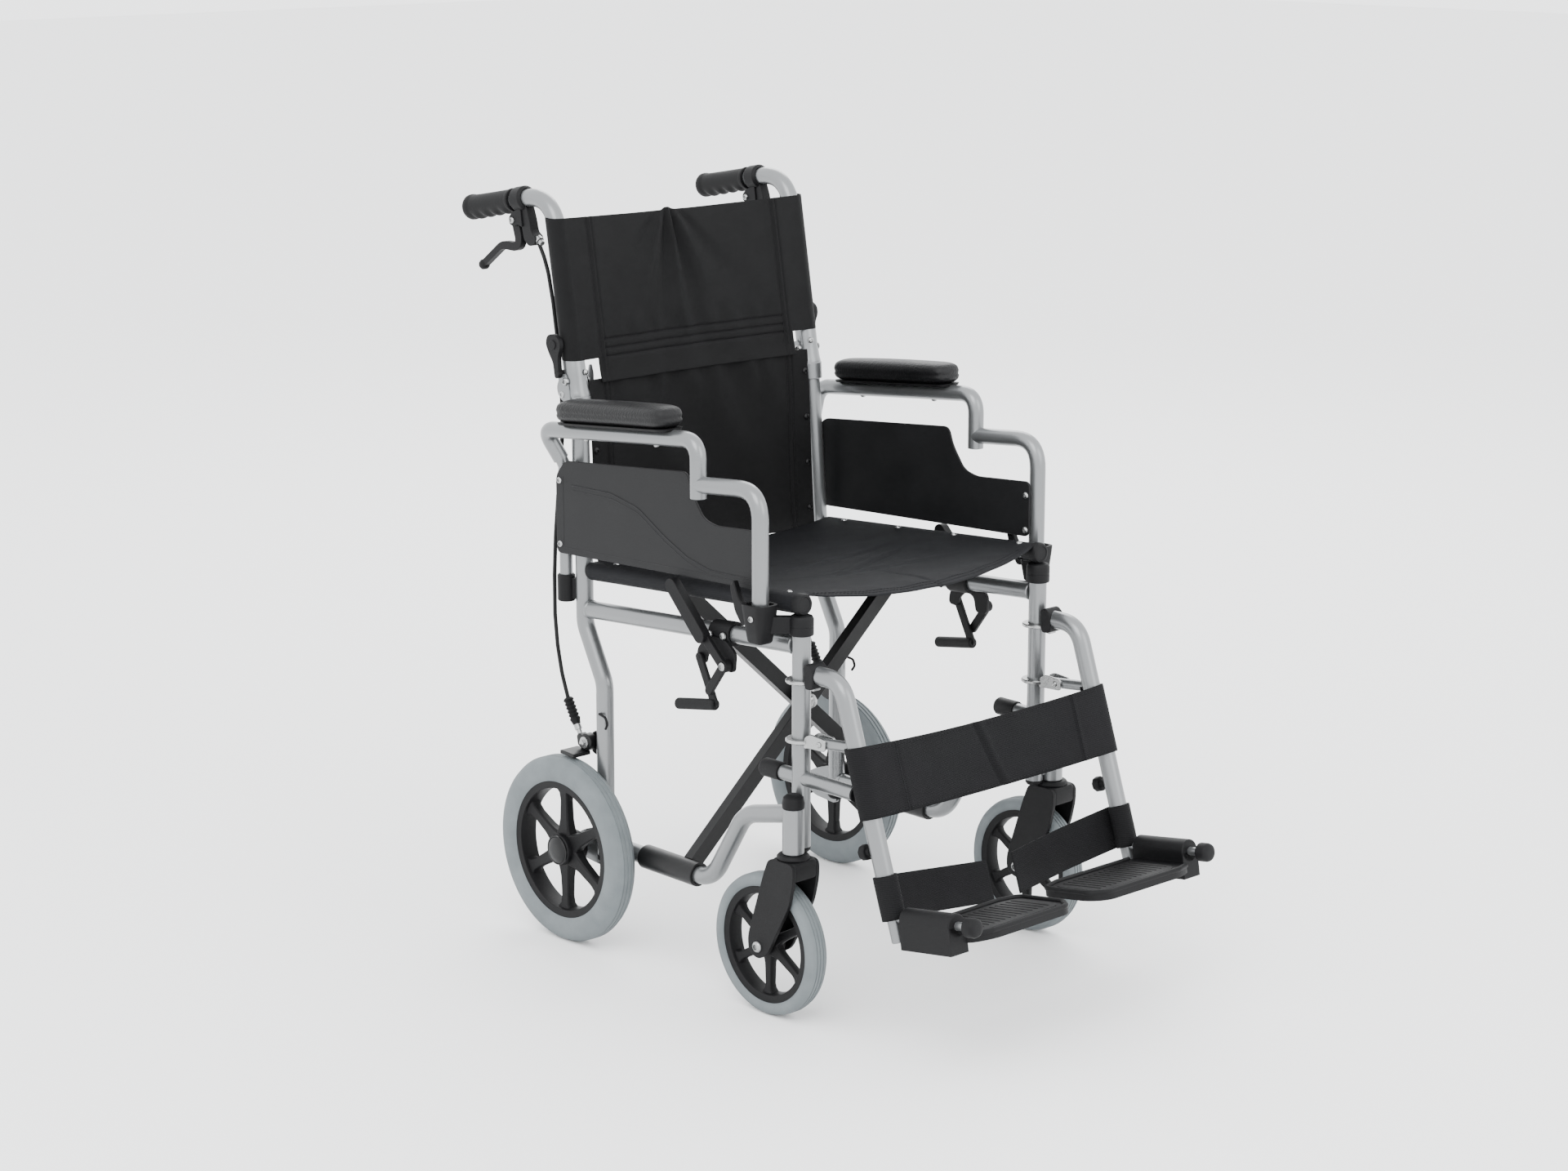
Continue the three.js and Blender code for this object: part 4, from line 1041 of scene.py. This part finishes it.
def build_straps(settings):
    """The calf strap between the hangers and one heel strap on each side."""
    rows = strap_rows(calf_section(settings.wrinkle), lambda t: 88 - 5 * math.sin(math.pi * t),
                      lambda t: 172 - 8 * math.sin(math.pi * t), 180, 20)
    calf = cloth_grid("calf_strap_cloth", "webbing", rows, settings.calf_thickness, "calf_strap")
    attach(calf, "hanger_right")
    thread = Piece()
    front = [i for i, p in enumerate(rows[0]) if abs(p[0]) < 196 and 12 < i < 168]
    lift = strap_frame()[2] * 1.1
    stitch_rows(thread, [[Vector(rows[j][i]) + lift for i in front[::2]] for j in (1, 19)], settings)
    for x in (-150, 150):
        column = min(front, key=lambda i: abs(rows[10][i][0] - x))
        stitch_rows(thread, [[Vector(row[column]) + lift for row in rows]], settings)
    seams = thread.object("calf_strap_stitching", "thread", "hanger_right")
    for piece in (calf, seams):
        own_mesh(piece)
    for label, s in SIDES:
        rows = strap_rows(heel_section(s, settings.wrinkle), lambda t: -30 - 18 * max(0, t - 0.26) / 0.74,
                          lambda t: 21 - 19 * max(0, t - 0.26) / 0.74, 110, 12)
        heel = cloth_grid(f"{label}_heel_strap", "webbing", rows, settings.heel_thickness,
                          f"heel_strap_{label}")
        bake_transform(heel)


# ------------------------------------------------------------------ armrests
def soften(shape, rounds):
    """Evens out the small steps of a remeshed skin."""
    mesh = bmesh.new()
    mesh.from_mesh(shape.data)
    for _ in range(rounds):
        bmesh.ops.smooth_vert(mesh, verts=mesh.verts[:], factor=0.5, use_axis_x=True, use_axis_y=True,
                              use_axis_z=True)
    mesh.to_mesh(shape.data)
    mesh.free()


def puffed(shape, settings):
    """Fills a closed skin with pressure, so that it swells as stuffed upholstery does."""
    remesh = shape.modifiers.new("grain", "REMESH")
    remesh.mode = "VOXEL"
    remesh.voxel_size = 5 * MM
    bpy.context.view_layer.objects.active = shape
    bpy.ops.object.modifier_apply(modifier="grain")
    soften(shape, 10)
    rest = [v.co.copy() for v in shape.data.vertices]
    cloth = shape.modifiers.new("stuffing", "CLOTH")
    cloth.settings.use_pressure = True
    cloth.settings.uniform_pressure_force = settings.pad_pressure
    cloth.settings.effector_weights.gravity = 0.0
    cloth.point_cache.frame_start, cloth.point_cache.frame_end = 1, 20
    scene = bpy.context.scene
    for frame in range(1, 21):
        scene.frame_set(frame)
    seen = shape.evaluated_get(bpy.context.evaluated_depsgraph_get())
    swollen = [v.co.copy() for v in seen.data.vertices]
    shape.modifiers.remove(cloth)
    scene.frame_set(1)
    for vert, old, new in zip(shape.data.vertices, rest, swollen):
        shift = new - old
        vert.co = old + shift * min(1.0, 1.6 * MM / max(shift.length, 1e-9))
    smooth = shape.modifiers.new("smooth", "SUBSURF")
    smooth.levels = smooth.render_levels = 1
    bpy.ops.object.modifier_apply(modifier="smooth")


def groove(shape, height, width, depth):
    """Presses a sewn line into the sides of a cushion at a height, towards its long middle line."""
    for vert in shape.data.vertices:
        press = math.exp(-(((vert.co.z / MM - height) / width) ** 2)) * depth * MM
        inward = Vector((vert.co.x, vert.co.y - max(-0.09, min(0.09, vert.co.y)), 0))
        if inward.length > 0.004:
            vert.co -= inward.normalized() * press


def pad_ring(corners, height, scale):
    """The arm pad's outline at a height, drawn in more at its sides than at its ends."""
    return [Vector((p.x * scale, p.y * (1 - (1 - scale) * 0.2), height)) for p in corners]


def build_armrests(settings):
    """The armrest tubes, pads, skirt guards and front sockets."""
    for label, s in SIDES:
        body, x = f"armrest_{label}", s * ARM_X
        tubing = Piece()
        tubing.rod((s * ARM_LEG[0], ARM_LEG[1], 442), (s * ARM_LEG[0], ARM_LEG[1], 604), 8)
        tubing.rod((s * ARM_LEG[0], ARM_LEG[1], 602), (s * 214.8, 264.4, 615), 8)
        tubing.tube([(s * 214, 264, 612), (x, 273, 650), (x, -14, 675), (x, -14, 606)],
                    ARM_TUBE_R, 24, steps=14)
        tubing.tube([(x, -14, 622), (x, -121, 631), (x, -121, 468)], ARM_TUBE_R, 34, steps=10)
        tubing.object(f"{label}_armrest_tube", "frame_silver", body, f"armrest_frame_{label}")
        ends = Piece()
        ends.screw((x, -14, 606.5), (0, 0, -1), 7, 2)
        ends.screw((x, 60, 658.5), (0, 0, -1), 3.4, 2)
        ends.screw((x, 190, 647.5), (0, 0, -1), 3.4, 2)
        ends.object(f"{label}_armrest_screws", "zinc", body)

        pad = Piece()
        corners = rounded([(-22, -104, 0), (22, -104, 0), (22, 104, 0), (-22, 104, 0)], 17, 8)
        pad.skin([pad_ring(corners, z, k) for z, k in (
            (10.2, 0.92), (12, 1.0), (16, 1.03), (28, 1.03), (34, 0.99), (37.4, 0.86), (38.4, 0.6))])
        place = Matrix.Translation(Vector((x, 128, 663)) * MM) @ Matrix.Rotation(-ARM_SLOPE, 4, "X")
        cushion = pad.object(f"{label}_arm_pad", "pad_vinyl", None, f"arm_pad_{label}", angle=80)
        puffed(cushion, settings)
        groove(cushion, 23.5, 1.5, 1.6)
        cushion.data.transform(place)
        cushion.data.shade_smooth()
        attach(cushion, body)
        board = Piece()
        board.skin([pad_ring(corners, z, k) for z, k in ((8.6, 0.86), (11.4, 0.9))])
        board.turn_about(place)
        board.object(f"{label}_arm_pad_board", "black_plastic", body)

        guard = Piece()
        guard.plate_x([(266, 494), (266, 592), (248, 612), (20, 631), (12, 608), (-8, 580),
                       (-30, 574), (-121, 580), (-121, 510)], s * 218.4, s * 221.2, 9)
        guard.object(f"{label}_guard", "guard_plastic", body, f"skirt_guard_{label}", edge=0.8)
        crease = Piece()
        face = s * 220.7
        for lift, thick in ((0, 1.25), (-6, 0.9)):
            wave = [(face, y, z + lift) for y, z in (
                (236, 583), (160, 584), (110, 574), (60, 546), (20, 528), (-20, 519), (-100, 520))]
            crease.tube(wave, thick, 60, 10)
        for y0, y1, z0, z1 in ((252, 252, 505, 592), (-110, -110, 520, 568), (252, -110, 503, 518)):
            crease.tube([(face, y0, z0), (face, y1, z1)], 0.8, 0, 8)
        crease.object(f"{label}_guard_creases", "guard_plastic", body)
        heads = Piece()
        for y, z in ((259, 586), (259, 506), (-115, 562), (-115, 518)):
            heads.screw((face, y, z), (s, 0, 0), 4.2, 2.6)
            heads.screw((s * 218.6, y, z), (-s, 0, 0), 4.2, 2.6)
        heads.object(f"{label}_guard_screws", "zinc", body)

        socket = Piece()
        post = s * HALF
        socket.ring((post, POST_Y, 462), (post, POST_Y, 473), 14.4, TUBE_R + 0.3)
        socket.turned((post, POST_Y, 472.5), (0, 0, 1), [(0, 14.4), (9, 14.4), (12.5, 12.6), (13.5, 9)], 36)
        plan = rounded([(x - 16, -137, 0), (x + 16, -137, 0), (x + 16, -103, 0), (x - 16, -103, 0)], 9, 5)
        outside = ((452, 0.62), (454, 0.72), (470, 0.86), (490, 1), (498, 1.04))
        inside = ((498, 0.8), (466.2, 0.8))
        socket.skin([[Vector((x + (p.x - x) * k, -121 + (p.y + 121) * k, z)) for p in plan]
                     for z, k in (*outside, *inside)])
        socket.block((34, 12, 20), ((post + x) / 2, (POST_Y - 121) / 2, 474), s * math.pi / 4)
        socket.object(f"{label}_armrest_socket", "black_plastic", f"frame_{label}",
                      f"armrest_socket_{label}", edge=1.0)
        catch = Piece()
        catch.plate_x([(-104, 470), (-92, 468), (-80, 484), (-72, 512), (-78, 520), (-88, 498), (-104, 488)],
                      x - 4, x + 4, 4)
        catch.object(f"{label}_armrest_catch", "black_plastic", f"frame_{label}", edge=1.4)
        bolt = Piece()
        bolt.screw((x + s * 14.6, -121, 482), (s, 0, 0), 4, 2.6)
        bolt.object(f"{label}_socket_screw", "zinc", f"frame_{label}")


# ------------------------------------------------------------------ footrests
def build_footrests(settings):
    """The hangers with their latches, the extensions and the ribbed footplates."""
    for label, s in SIDES:
        x, body = s * HALF, f"hanger_{label}"
        hanger = Piece()
        hanger.tube([(x, -172, 419), (x, *HANGER_BEND), (x, *HANGER_END)], TUBE_R, 50, steps=12)
        hanger.rod((x, -176, 338), (x, -243, 345), 6.5)
        hanger.object(f"{label}_hanger", "frame_silver", body, f"footrest_hanger_{label}")
        rings = Piece()
        for z in (408, 337):
            rings.ring((x, POST_Y, z - 2.2), (x, POST_Y, z + 2.2), 18.6, TUBE_R + 0.6, edge=1)
        rings.plate_x([(-182, 400), (-168, 402), (-168, 414), (-182, 424)], x - 5, x + 5, 3)
        rings.object(f"{label}_latch_rings", "zinc", body)
        latch = Piece()
        latch.plate_x([(-187, 404), (-173, 402), (-170, 430), (-178, 434), (-187, 428)],
                      x - 12.2, x + 12.2, 5)
        latch.object(f"{label}_hanger_latch", "black_plastic", body, edge=1.6)
        fork = Piece()
        for face in (-1, 1):
            fork.plate_x([(-204, 333), (-176, 332), (-168, 330), (-168, 343), (-178, 349), (-204, 347)],
                         x + face * 6.4, x + face * 9, 5)
        fork.screw((x + 9, -194, 340), (1, 0, 0), 3.6, 2.2)
        fork.screw((x - 9, -194, 340), (-1, 0, 0), 3.6, 2.2)
        fork.object(f"{label}_latch_fork", "zinc", body, edge=0.6)
        knob = Piece()
        knob.turned((x, -271, 228), (0, 0.95, -0.32),
                    [(0, 5), (3, 5), (3.4, 8.6), (5, 9.6), (12, 9.6), (14, 7.4), (14.6, 3)], 9)
        knob.object(f"{label}_height_knob", "black_plastic", body, edge=0.8)
        end = Piece()
        along = (Vector((0, *HANGER_END)) - Vector((0, *HANGER_BEND))).normalized()
        end.ring(Vector((x, *HANGER_END)) - along * 8, Vector((x, *HANGER_END)) + along * 3, 12.4, 9.2)
        end.object(f"{label}_hanger_collar", "black_plastic", body)

        along_pin = Vector((0, -math.cos(FOOT_PITCH), math.sin(FOOT_PITCH)))
        pivot = Vector((x, *FOOT_PIVOT))
        inner = Piece()
        inner.rod((x, -275, 261.8), (x, -318.8, 131), 8.7)
        inner.rod(pivot + along_pin * -64, pivot + along_pin * 60, 5)
        inner.object(f"{label}_extension", "frame_silver", f"extension_{label}",
                     f"footrest_extension_{label}")
        nut = Piece()
        nut.turned(pivot + along_pin * 52, along_pin,
                   [(0, 6), (1.4, 9.6), (3, 11.4), (13, 11.4), (16, 10.4), (17.6, 8), (18, 4)], 32)
        nut.turned(pivot + along_pin * -60, -along_pin, [(-2, 7), (3, 7), (5, 5)], 6)
        nut.object(f"{label}_footplate_nut", "black_plastic", f"extension_{label}", edge=0.7)

        place = Matrix.Translation(pivot * MM) @ Matrix.Rotation(-FOOT_PITCH, 4, "X")
        plate = Piece()
        plate.turned((0, -38, 0), (0, 1, 0), [(0, 12.6), (1.4, 14), (78.6, 14), (80, 12.6)], 36)
        plate.block((28, 80, 32), (0, 2, -16.5))
        plan = [(-10, 46), (-150, 48), (-181, 38), (-181, -34), (-166, -54), (-40, -56), (-10, -44)]
        shape = rounded([(s * px, py, 0) for px, py in plan], 16, 6)
        plate.skin([[Vector((p.x, p.y, z)) for p in shape] for z in (-22, -13)])
        tread = rounded([(s * px, py, 0) for px, py in ((-30, 34), (-148, 37), (-168, 28), (-168, -28),
                                                       (-158, -42), (-40, -44), (-30, -34))], 10, 5)
        plate.skin([[Vector((p.x, p.y, z)) for p in tread] for z in (-13.6, -11.9)])
        for k in range(14):
            plate.rod((s * (-38 - 9 * k), -32, -11.8), (s * (-38 - 9 * k), 28, -11.8), 0.55, sides=8)
        plate.turn_about(place)
        plate.object(f"{label}_footplate", "black_plastic", f"plate_{label}", f"footplate_{label}", edge=1.4)
        rim = Piece()
        lip = [(s * px, py, -12.5) for px, py in (
            (-20, -47), (-40, -53.5), (-164, -51.5), (-178.5, -33), (-178.5, 36), (-150, 45.5), (-20, 43.5))]
        rim.tube(lip, 3.2, 14, 14)
        rim.turn_about(place)
        rim.object(f"{label}_footplate_rim", "black_plastic", f"plate_{label}")


# ------------------------------------------------------------------ wheels
SPOKE_SECTION = ((-1, -0.7), (-0.8, -1), (0.8, -1), (1, -0.7), (1, 0.7), (0.8, 1), (-0.8, 1), (-1, 0.7))


def wheel(s, spec, tyre_name, rim_name, nodes, body, blind):
    """A tyre on a six-spoked rim: nodes names the rim's and the tyre's node, blind closes the hub."""
    at = Vector((s * spec["x"], spec["y"], spec["r"]))
    half, seat, r, hub = spec["half"], spec["seat"], spec["r"], spec["hub"]
    way = Vector((s, 0, 0))
    wall = r - seat
    profile = [(-half * 0.72, seat + 0.3), (-half * 0.86, seat + wall * 0.1), (-half, seat + wall * 0.32),
               (-half, seat + wall * 0.6), (-half * 0.93, seat + wall * 0.76),
               (-half * 0.76, r - wall * 0.1), (-half * 0.5, r - wall * 0.03)]
    for line in (-0.34, 0.0, 0.34):
        profile += [((line - 0.07) * half, r - 0.1), ((line - 0.03) * half, r - 1.1),
                    ((line + 0.03) * half, r - 1.1), ((line + 0.07) * half, r - 0.1)]
    profile += [(-d, radius) for d, radius in reversed(profile[:7])]
    tyre = Piece()
    tyre.turned(at, way, profile, 120, closed=True)
    tyre.object(tyre_name, "grey_tyre", body, nodes[1], angle=50)

    width = half * 0.72
    rim = Piece()
    rim.turned(at, way, [(-width, seat - 8), (-width - 0.8, seat + 1.2), (-width * 0.9, seat),
                         (width * 0.9, seat), (width + 0.8, seat + 1.2), (width, seat - 8),
                         (width * 0.5, seat - 9.5), (-width * 0.5, seat - 9.5)], 96, closed=True)
    if blind:
        rim.turned(at, way, [(-half + 0.6, hub), (half - 3, hub), (half - 0.4, hub - 2.2),
                             (half - 0.4, hub * 0.5)], 48)
    else:
        rim.ring(at - way * (half - 0.6), at + way * (half - 0.6), hub, 4.6, 48, 1.4)
    for k in range(6):
        a = math.tau * k / 6
        out = Vector((0, -math.sin(a), math.cos(a)))
        side = Vector((0, math.cos(a), math.sin(a)))
        rings = []
        for d, w, t in ((hub * 0.8, 0.95, 0.5), (hub * 1.3, 0.66, 0.42), (hub * 1.9, 0.52, 0.36),
                        (seat * 0.72, 0.44, 0.34), (seat - 14, 0.52, 0.4), (seat - 8, 0.9, 0.5)):
            w, t = w * spec["spoke"], t * half
            rings.append([at + out * d + side * cw * w + way * ct * t for cw, ct in SPOKE_SECTION])
        rim.skin(rings)
    rim.object(rim_name, "black_plastic", body, nodes[0], edge=0.5)


def build_rear_wheels(settings):
    """The rear wheels and their hub caps."""
    for label, s in SIDES:
        wheel(s, REAR_WHEEL, f"{label}_rear_tyre", f"{label}_rear_rim",
              (f"rear_wheel_rim_{label}", f"rear_wheel_tyre_{label}"), f"rear_wheel_{label}", True)
        cap = Piece()
        at = (s * (REAR_WHEEL["x"] + REAR_WHEEL["half"] - 1), REAR_WHEEL["y"], REAR_WHEEL["r"])
        cap.turned(at, (s, 0, 0), [(-4, 18.6), (1.6, 18.6), (1.8, 17.4), (1.2, 17), (1.8, 16.6), (3.4, 14.6),
                                   (4.6, 9), (4.9, 4)], 48)
        cap.object(f"{label}_rear_hub_cap", "black_enamel", f"rear_wheel_{label}")


def build_castors(settings):
    """The castor wheels, forks and axles."""
    for label, s in SIDES:
        x, body = s * CASTOR["x"], f"fork_{label}"
        wheel(s, CASTOR, f"{label}_castor_tyre_ring", f"{label}_castor_wheel",
              (f"castor_rim_{label}", f"castor_tyre_{label}"), f"castor_{label}", False)
        fork = Piece()
        outline = [(-187, 200), (-145, 200), (-136, 178), (-109, 96), (-110, 78), (-126, 70), (-142, 79),
                   (-180, 148), (-187, 178)]
        for face in (-1, 1):
            fork.plate_x(outline, x + face * 16.4, x + face * 21.4, 9)
        crown = rounded([(-20.6, -21, 0), (20.6, -21, 0), (20.6, 20, 0), (-20.6, 20, 0)], 7, 5)
        fork.skin([[Vector((x + q.x * k, -166 + q.y * k, z)) for q in crown]
                   for z, k in ((178, 0.93), (181, 0.99), (194, 0.99), (198, 0.95), (200, 0.86))])
        fork.turned((x, STEM_Y, 186), (0, 0, 1),
                    [(0, 19.8), (13.6, 19.8), (14, 18.4), (14.6, 19.6), (17, 19.4), (19.4, 17.4), (19.8, 14)],
                    40)
        fork.rod((x, STEM_Y, 204), (x, STEM_Y, 255), 6)
        fork.object(f"{label}_fork", "black_plastic", body, f"castor_fork_{label}", edge=1.6)
        axle = Piece()
        for face in (-1, 1):
            axle.screw((x + face * 21.2, CASTOR["y"], CASTOR["r"]), (face, 0, 0), 7, 4.4)
        axle.rod((x - 21, CASTOR["y"], CASTOR["r"]), (x + 21, CASTOR["y"], CASTOR["r"]), 4)
        axle.object(f"{label}_castor_axle", "zinc", body)


def build_parking_brakes(settings):
    """The parking brakes: mount, lever and shoe arm on each upper rail."""
    for label, s in SIDES:
        x, body = s * HALF, f"frame_{label}"
        mount = Piece()
        mount.ring((x, -44, rail_z(-44)), (x, -8, rail_z(-8)), 15, TUBE_R + 0.2, edge=1)
        arch = [(-56, 400), (-58, 424), (-40, 438), (-10, 438), (8, 420), (10, 404), (-6, 402), (-8, 414),
                (-20, 424), (-34, 420), (-38, 400)]
        mount.plate_x(arch, s * 212, s * 216.6, 6)
        mount.rod((s * 213, *BRAKE_PIVOT), (s * 227.5, *BRAKE_PIVOT), 3)
        mount.rod((s * 213, *SHOE_PIVOT), (s * 222, *SHOE_PIVOT), 3)
        mount.object(f"{label}_parking_mount", "black_plastic", body,
                     f"parking_brake_mount_{label}", edge=0.8)
        bolts = Piece()
        for y in (-38, -14):
            bolts.screw((s * 216.5, y, rail_z(y)), (s, 0, 0), 4.6, 3.4)
        bolts.screw((s * 227, *BRAKE_PIVOT), (s, 0, 0), 5.2, 2.4)
        bolts.object(f"{label}_parking_bolts", "zinc", body)
        lever = Piece()
        lever.link(BRAKE_PIVOT, (-12, 440), 12, s * 222, s * 227)
        lever.link(BRAKE_PIVOT, (-22, 374), 11, s * 222, s * 227)
        lever.link((-12, 440), (38, 492), 18, s * 222, s * 233)
        lever.rod((s * 217, *BRAKE_PIVOT), (s * 227, *BRAKE_PIVOT), 7.5)
        lever.object(f"{label}_parking_lever", "black_plastic", f"park_lever_{label}",
                     f"parking_brake_lever_{label}", edge=2.0)
        shoe = Piece()
        shoe.link(SHOE_PIVOT, (-25, 358), 11, s * 217, s * 221.5)
        shoe.rod((s * 219.5, -28, 357), (s * 222, 38, 346), 7, 1.4)
        shoe.object(f"{label}_parking_shoe", "black_plastic", f"park_shoe_{label}",
                    f"parking_brake_shoe_{label}", edge=0.8)


# ------------------------------------------------------------------ stage
CAMERA_PLACE = (-2.6245, -2.7423, 1.3485)
CAMERA_ANGLE = math.radians(27.7596)
CAMERA_DIP = math.radians(13.1453)
CAMERA_HEADING = math.radians(42.8137)


def build_stage(settings):
    """The floor, the room's light, three lamps and the camera."""
    scene = bpy.context.scene
    floor_mesh = bmesh.new()
    bmesh.ops.create_grid(floor_mesh, x_segments=1, y_segments=1, size=20)
    data = bpy.data.meshes.new("floor")
    floor_mesh.to_mesh(data)
    floor_mesh.free()
    floor = bpy.data.objects.new("floor", data)
    scene.collection.objects.link(floor)
    paper = bpy.data.materials.new("pale_paper")
    paper.use_nodes = True
    shader = paper.node_tree.nodes["Principled BSDF"]
    shader.inputs["Base Color"].default_value = (*settings.floor_colour, 1)
    shader.inputs["Roughness"].default_value = 0.9
    shader.inputs["Specular IOR Level"].default_value = 0.1
    data.materials.append(paper)
    world = bpy.data.worlds.new("studio")
    world.use_nodes = True
    room = world.node_tree.nodes["Background"]
    room.inputs["Color"].default_value = (*settings.room_colour, 1)
    room.inputs["Strength"].default_value = settings.room_light
    scene.world = world
    for name, at, power, size in (("key", (-2.6, -1.6, 3.4), 90, 2.6), ("front", (0.6, -3.6, 2.2), 42, 2.4),
                                  ("rim", (2.4, 2.2, 2.8), 55, 2.0)):
        light = bpy.data.lights.new(name, "AREA")
        light.energy = power * settings.lamp_power
        light.size = size
        lamp = bpy.data.objects.new(name, light)
        lamp.location = at
        lamp.rotation_euler = (Vector((0, 0, 0.5)) - Vector(at)).to_track_quat("-Z", "Y").to_euler()
        scene.collection.objects.link(lamp)
    lens = bpy.data.cameras.new("camera")
    lens.angle = CAMERA_ANGLE
    lens.clip_end = 100
    camera = bpy.data.objects.new("camera", lens)
    camera.location = CAMERA_PLACE
    camera.rotation_euler = (math.pi / 2 - CAMERA_DIP, 0, -CAMERA_HEADING)
    scene.collection.objects.link(camera)
    scene.camera = camera


# ------------------------------------------------------------------ the add-on
def length(name, description, default, top):
    return FloatProperty(name=name, description=description, default=default, min=0.0, max=top,
                         unit="LENGTH", precision=4)


def share(name, description, default, top):
    return FloatProperty(name=name, description=description, default=default, min=0.0, max=top,
                         subtype="FACTOR")


def colour(name, description, default):
    return FloatVectorProperty(name=name, description=description, default=default, size=3,
                               min=0.0, max=1.0, subtype="COLOR")


class WheelchairSettings(bpy.types.PropertyGroup):
    """The sizes and colours that a user may change."""

    back_thickness: length("Back cloth", "Thickness of the two cloths of the back", 0.0016, 0.004)
    seat_thickness: length("Seat cloth", "Thickness of the seat cloth", 0.0018, 0.004)
    calf_thickness: length("Calf strap", "Thickness of the calf strap", 0.002, 0.004)
    heel_thickness: length("Heel straps", "Thickness of the heel straps", 0.0018, 0.004)
    stitch_length: length("Stitches", "Length of one stitch of the sewn lines", 0.0032, 0.005)
    cable_thickness: length("Brake cables", "Thickness of the brake cables", 0.005, 0.007)
    wave_depth: length("Wave depth", "Depth of the finger waves under a hand grip", 0.0015, 0.002)
    grip_waves: IntProperty(name="Grip waves", description="Number of finger waves along a hand grip",
                            default=4, min=2, max=8)
    pad_pressure: FloatProperty(name="Pad pressure", description="Pressure of the stuffing in the arm pads",
                                default=4.0, min=0.0, max=10.0)
    wrinkle: share("Wrinkles", "Depth of the folds in the cloth, as a share of the usual depth", 1.0, 2.0)
    frame_colour: colour("Tubes", "Paint of the frame's tubes", (0.2, 0.206, 0.21))
    moulding_colour: colour("Mouldings", "Plastic of the wheels, caps, sockets and footplates",
                            (0.0026, 0.0026, 0.003))
    enamel_colour: colour("Enamel", "Enamel of the cross braces and tyre brakes", (0.002, 0.002, 0.0023))
    guard_colour: colour("Guards", "Plastic of the skirt guards", (0.0046, 0.0047, 0.0052))
    grip_colour: colour("Grips", "Rubber of the hand grips", (0.0024, 0.0024, 0.0027))
    back_colour: colour("Back", "Cloth of the back", (0.0016, 0.0016, 0.0018))
    seat_colour: colour("Seat", "Cloth of the seat", (0.003, 0.0032, 0.004))
    strap_colour: colour("Straps", "Webbing of the calf and heel straps", (0.002, 0.002, 0.0022))
    thread_colour: colour("Thread", "Thread of the sewn lines", (0.007, 0.007, 0.008))
    pad_colour: colour("Pads", "Skin of the arm pads", (0.0026, 0.0026, 0.003))
    tyre_colour: colour("Tyres", "Rubber of the tyres", (0.145, 0.163, 0.17))
    floor_colour: colour("Floor", "Paper that the chair stands on", (0.9, 0.9, 0.9))
    room_colour: colour("Room", "Even light of the room", (0.93, 0.94, 0.95))
    room_light: FloatProperty(name="Room light", description="Strength of the even light of the room",
                              default=3.1, min=0.0, max=6.0)
    lamp_power: share("Lamp power", "Share of the lamps' full power", 1.0, 4.0)


BUILDERS = (
    ("side_frames", "Build Side Frames", "Builds the posts and rails of both sides", build_side_frames),
    ("cross_braces", "Build Cross Braces", "Builds the scissor braces with their seat rails",
     build_cross_braces),
    ("back_hinges", "Build Back Hinges", "Builds the folding hinges of the back", build_back_hinges),
    ("handles", "Build Handles", "Builds the back tubes, grips and brake levers", build_handles),
    ("brake_cables", "Build Brake Cables", "Builds the cables and the tyre brakes", build_brake_cables),
    ("seat", "Build Seat", "Builds the seat cloth", build_seat),
    ("back_slings", "Build Back Slings", "Builds the two cloths of the back", build_back_slings),
    ("armrests", "Build Armrests", "Builds the armrests with pads, guards and sockets", build_armrests),
    ("footrests", "Build Footrests", "Builds the hangers, extensions and footplates", build_footrests),
    ("straps", "Build Straps", "Builds the calf strap and heel straps", build_straps),
    ("castors", "Build Castors", "Builds the front castors", build_castors),
    ("rear_wheels", "Build Rear Wheels", "Builds the rear wheels", build_rear_wheels),
    ("parking_brakes", "Build Parking Brakes", "Builds the parking brakes", build_parking_brakes),
    ("stage", "Build Stage", "Builds the floor, lights and camera", build_stage),
)


def operator_for(key, label, purpose, build):
    """An operator that builds one piece, or one group of like pieces."""

    def execute(self, context):
        build(context.scene.wheelchair)
        return {"FINISHED"}

    name = "WHEELCHAIR_OT_" + key
    return type(name, (bpy.types.Operator,), {
        "__doc__": purpose, "bl_idname": "wheelchair." + key, "bl_label": label, "execute": execute})


OPERATORS = tuple(operator_for(*row) for row in BUILDERS)


class WHEELCHAIR_PT_sidebar(bpy.types.Panel):
    """The settings and one button for each piece"""

    bl_label = "Wheelchair"
    bl_idname = "WHEELCHAIR_PT_sidebar"
    bl_space_type = "VIEW_3D"
    bl_region_type = "UI"
    bl_category = "Wheelchair"

    def draw(self, context):
        for name in WheelchairSettings.__annotations__:
            self.layout.prop(context.scene.wheelchair, name)
        for key, *_ in BUILDERS:
            self.layout.operator("wheelchair." + key)


CLASSES = (WheelchairSettings, *OPERATORS, WHEELCHAIR_PT_sidebar)


def register():
    for made in CLASSES:
        bpy.utils.register_class(made)
    bpy.types.Scene.wheelchair = PointerProperty(type=WheelchairSettings)


def unregister():
    del bpy.types.Scene.wheelchair
    for made in reversed(CLASSES):
        bpy.utils.unregister_class(made)


def build_wheelchair():
    """Registers the add-on, builds every piece in order and writes down the sizes of both models."""
    register()
    for key, *_ in BUILDERS:
        getattr(bpy.ops.wheelchair, key)()


if __name__ == "__main__":
    build_wheelchair()
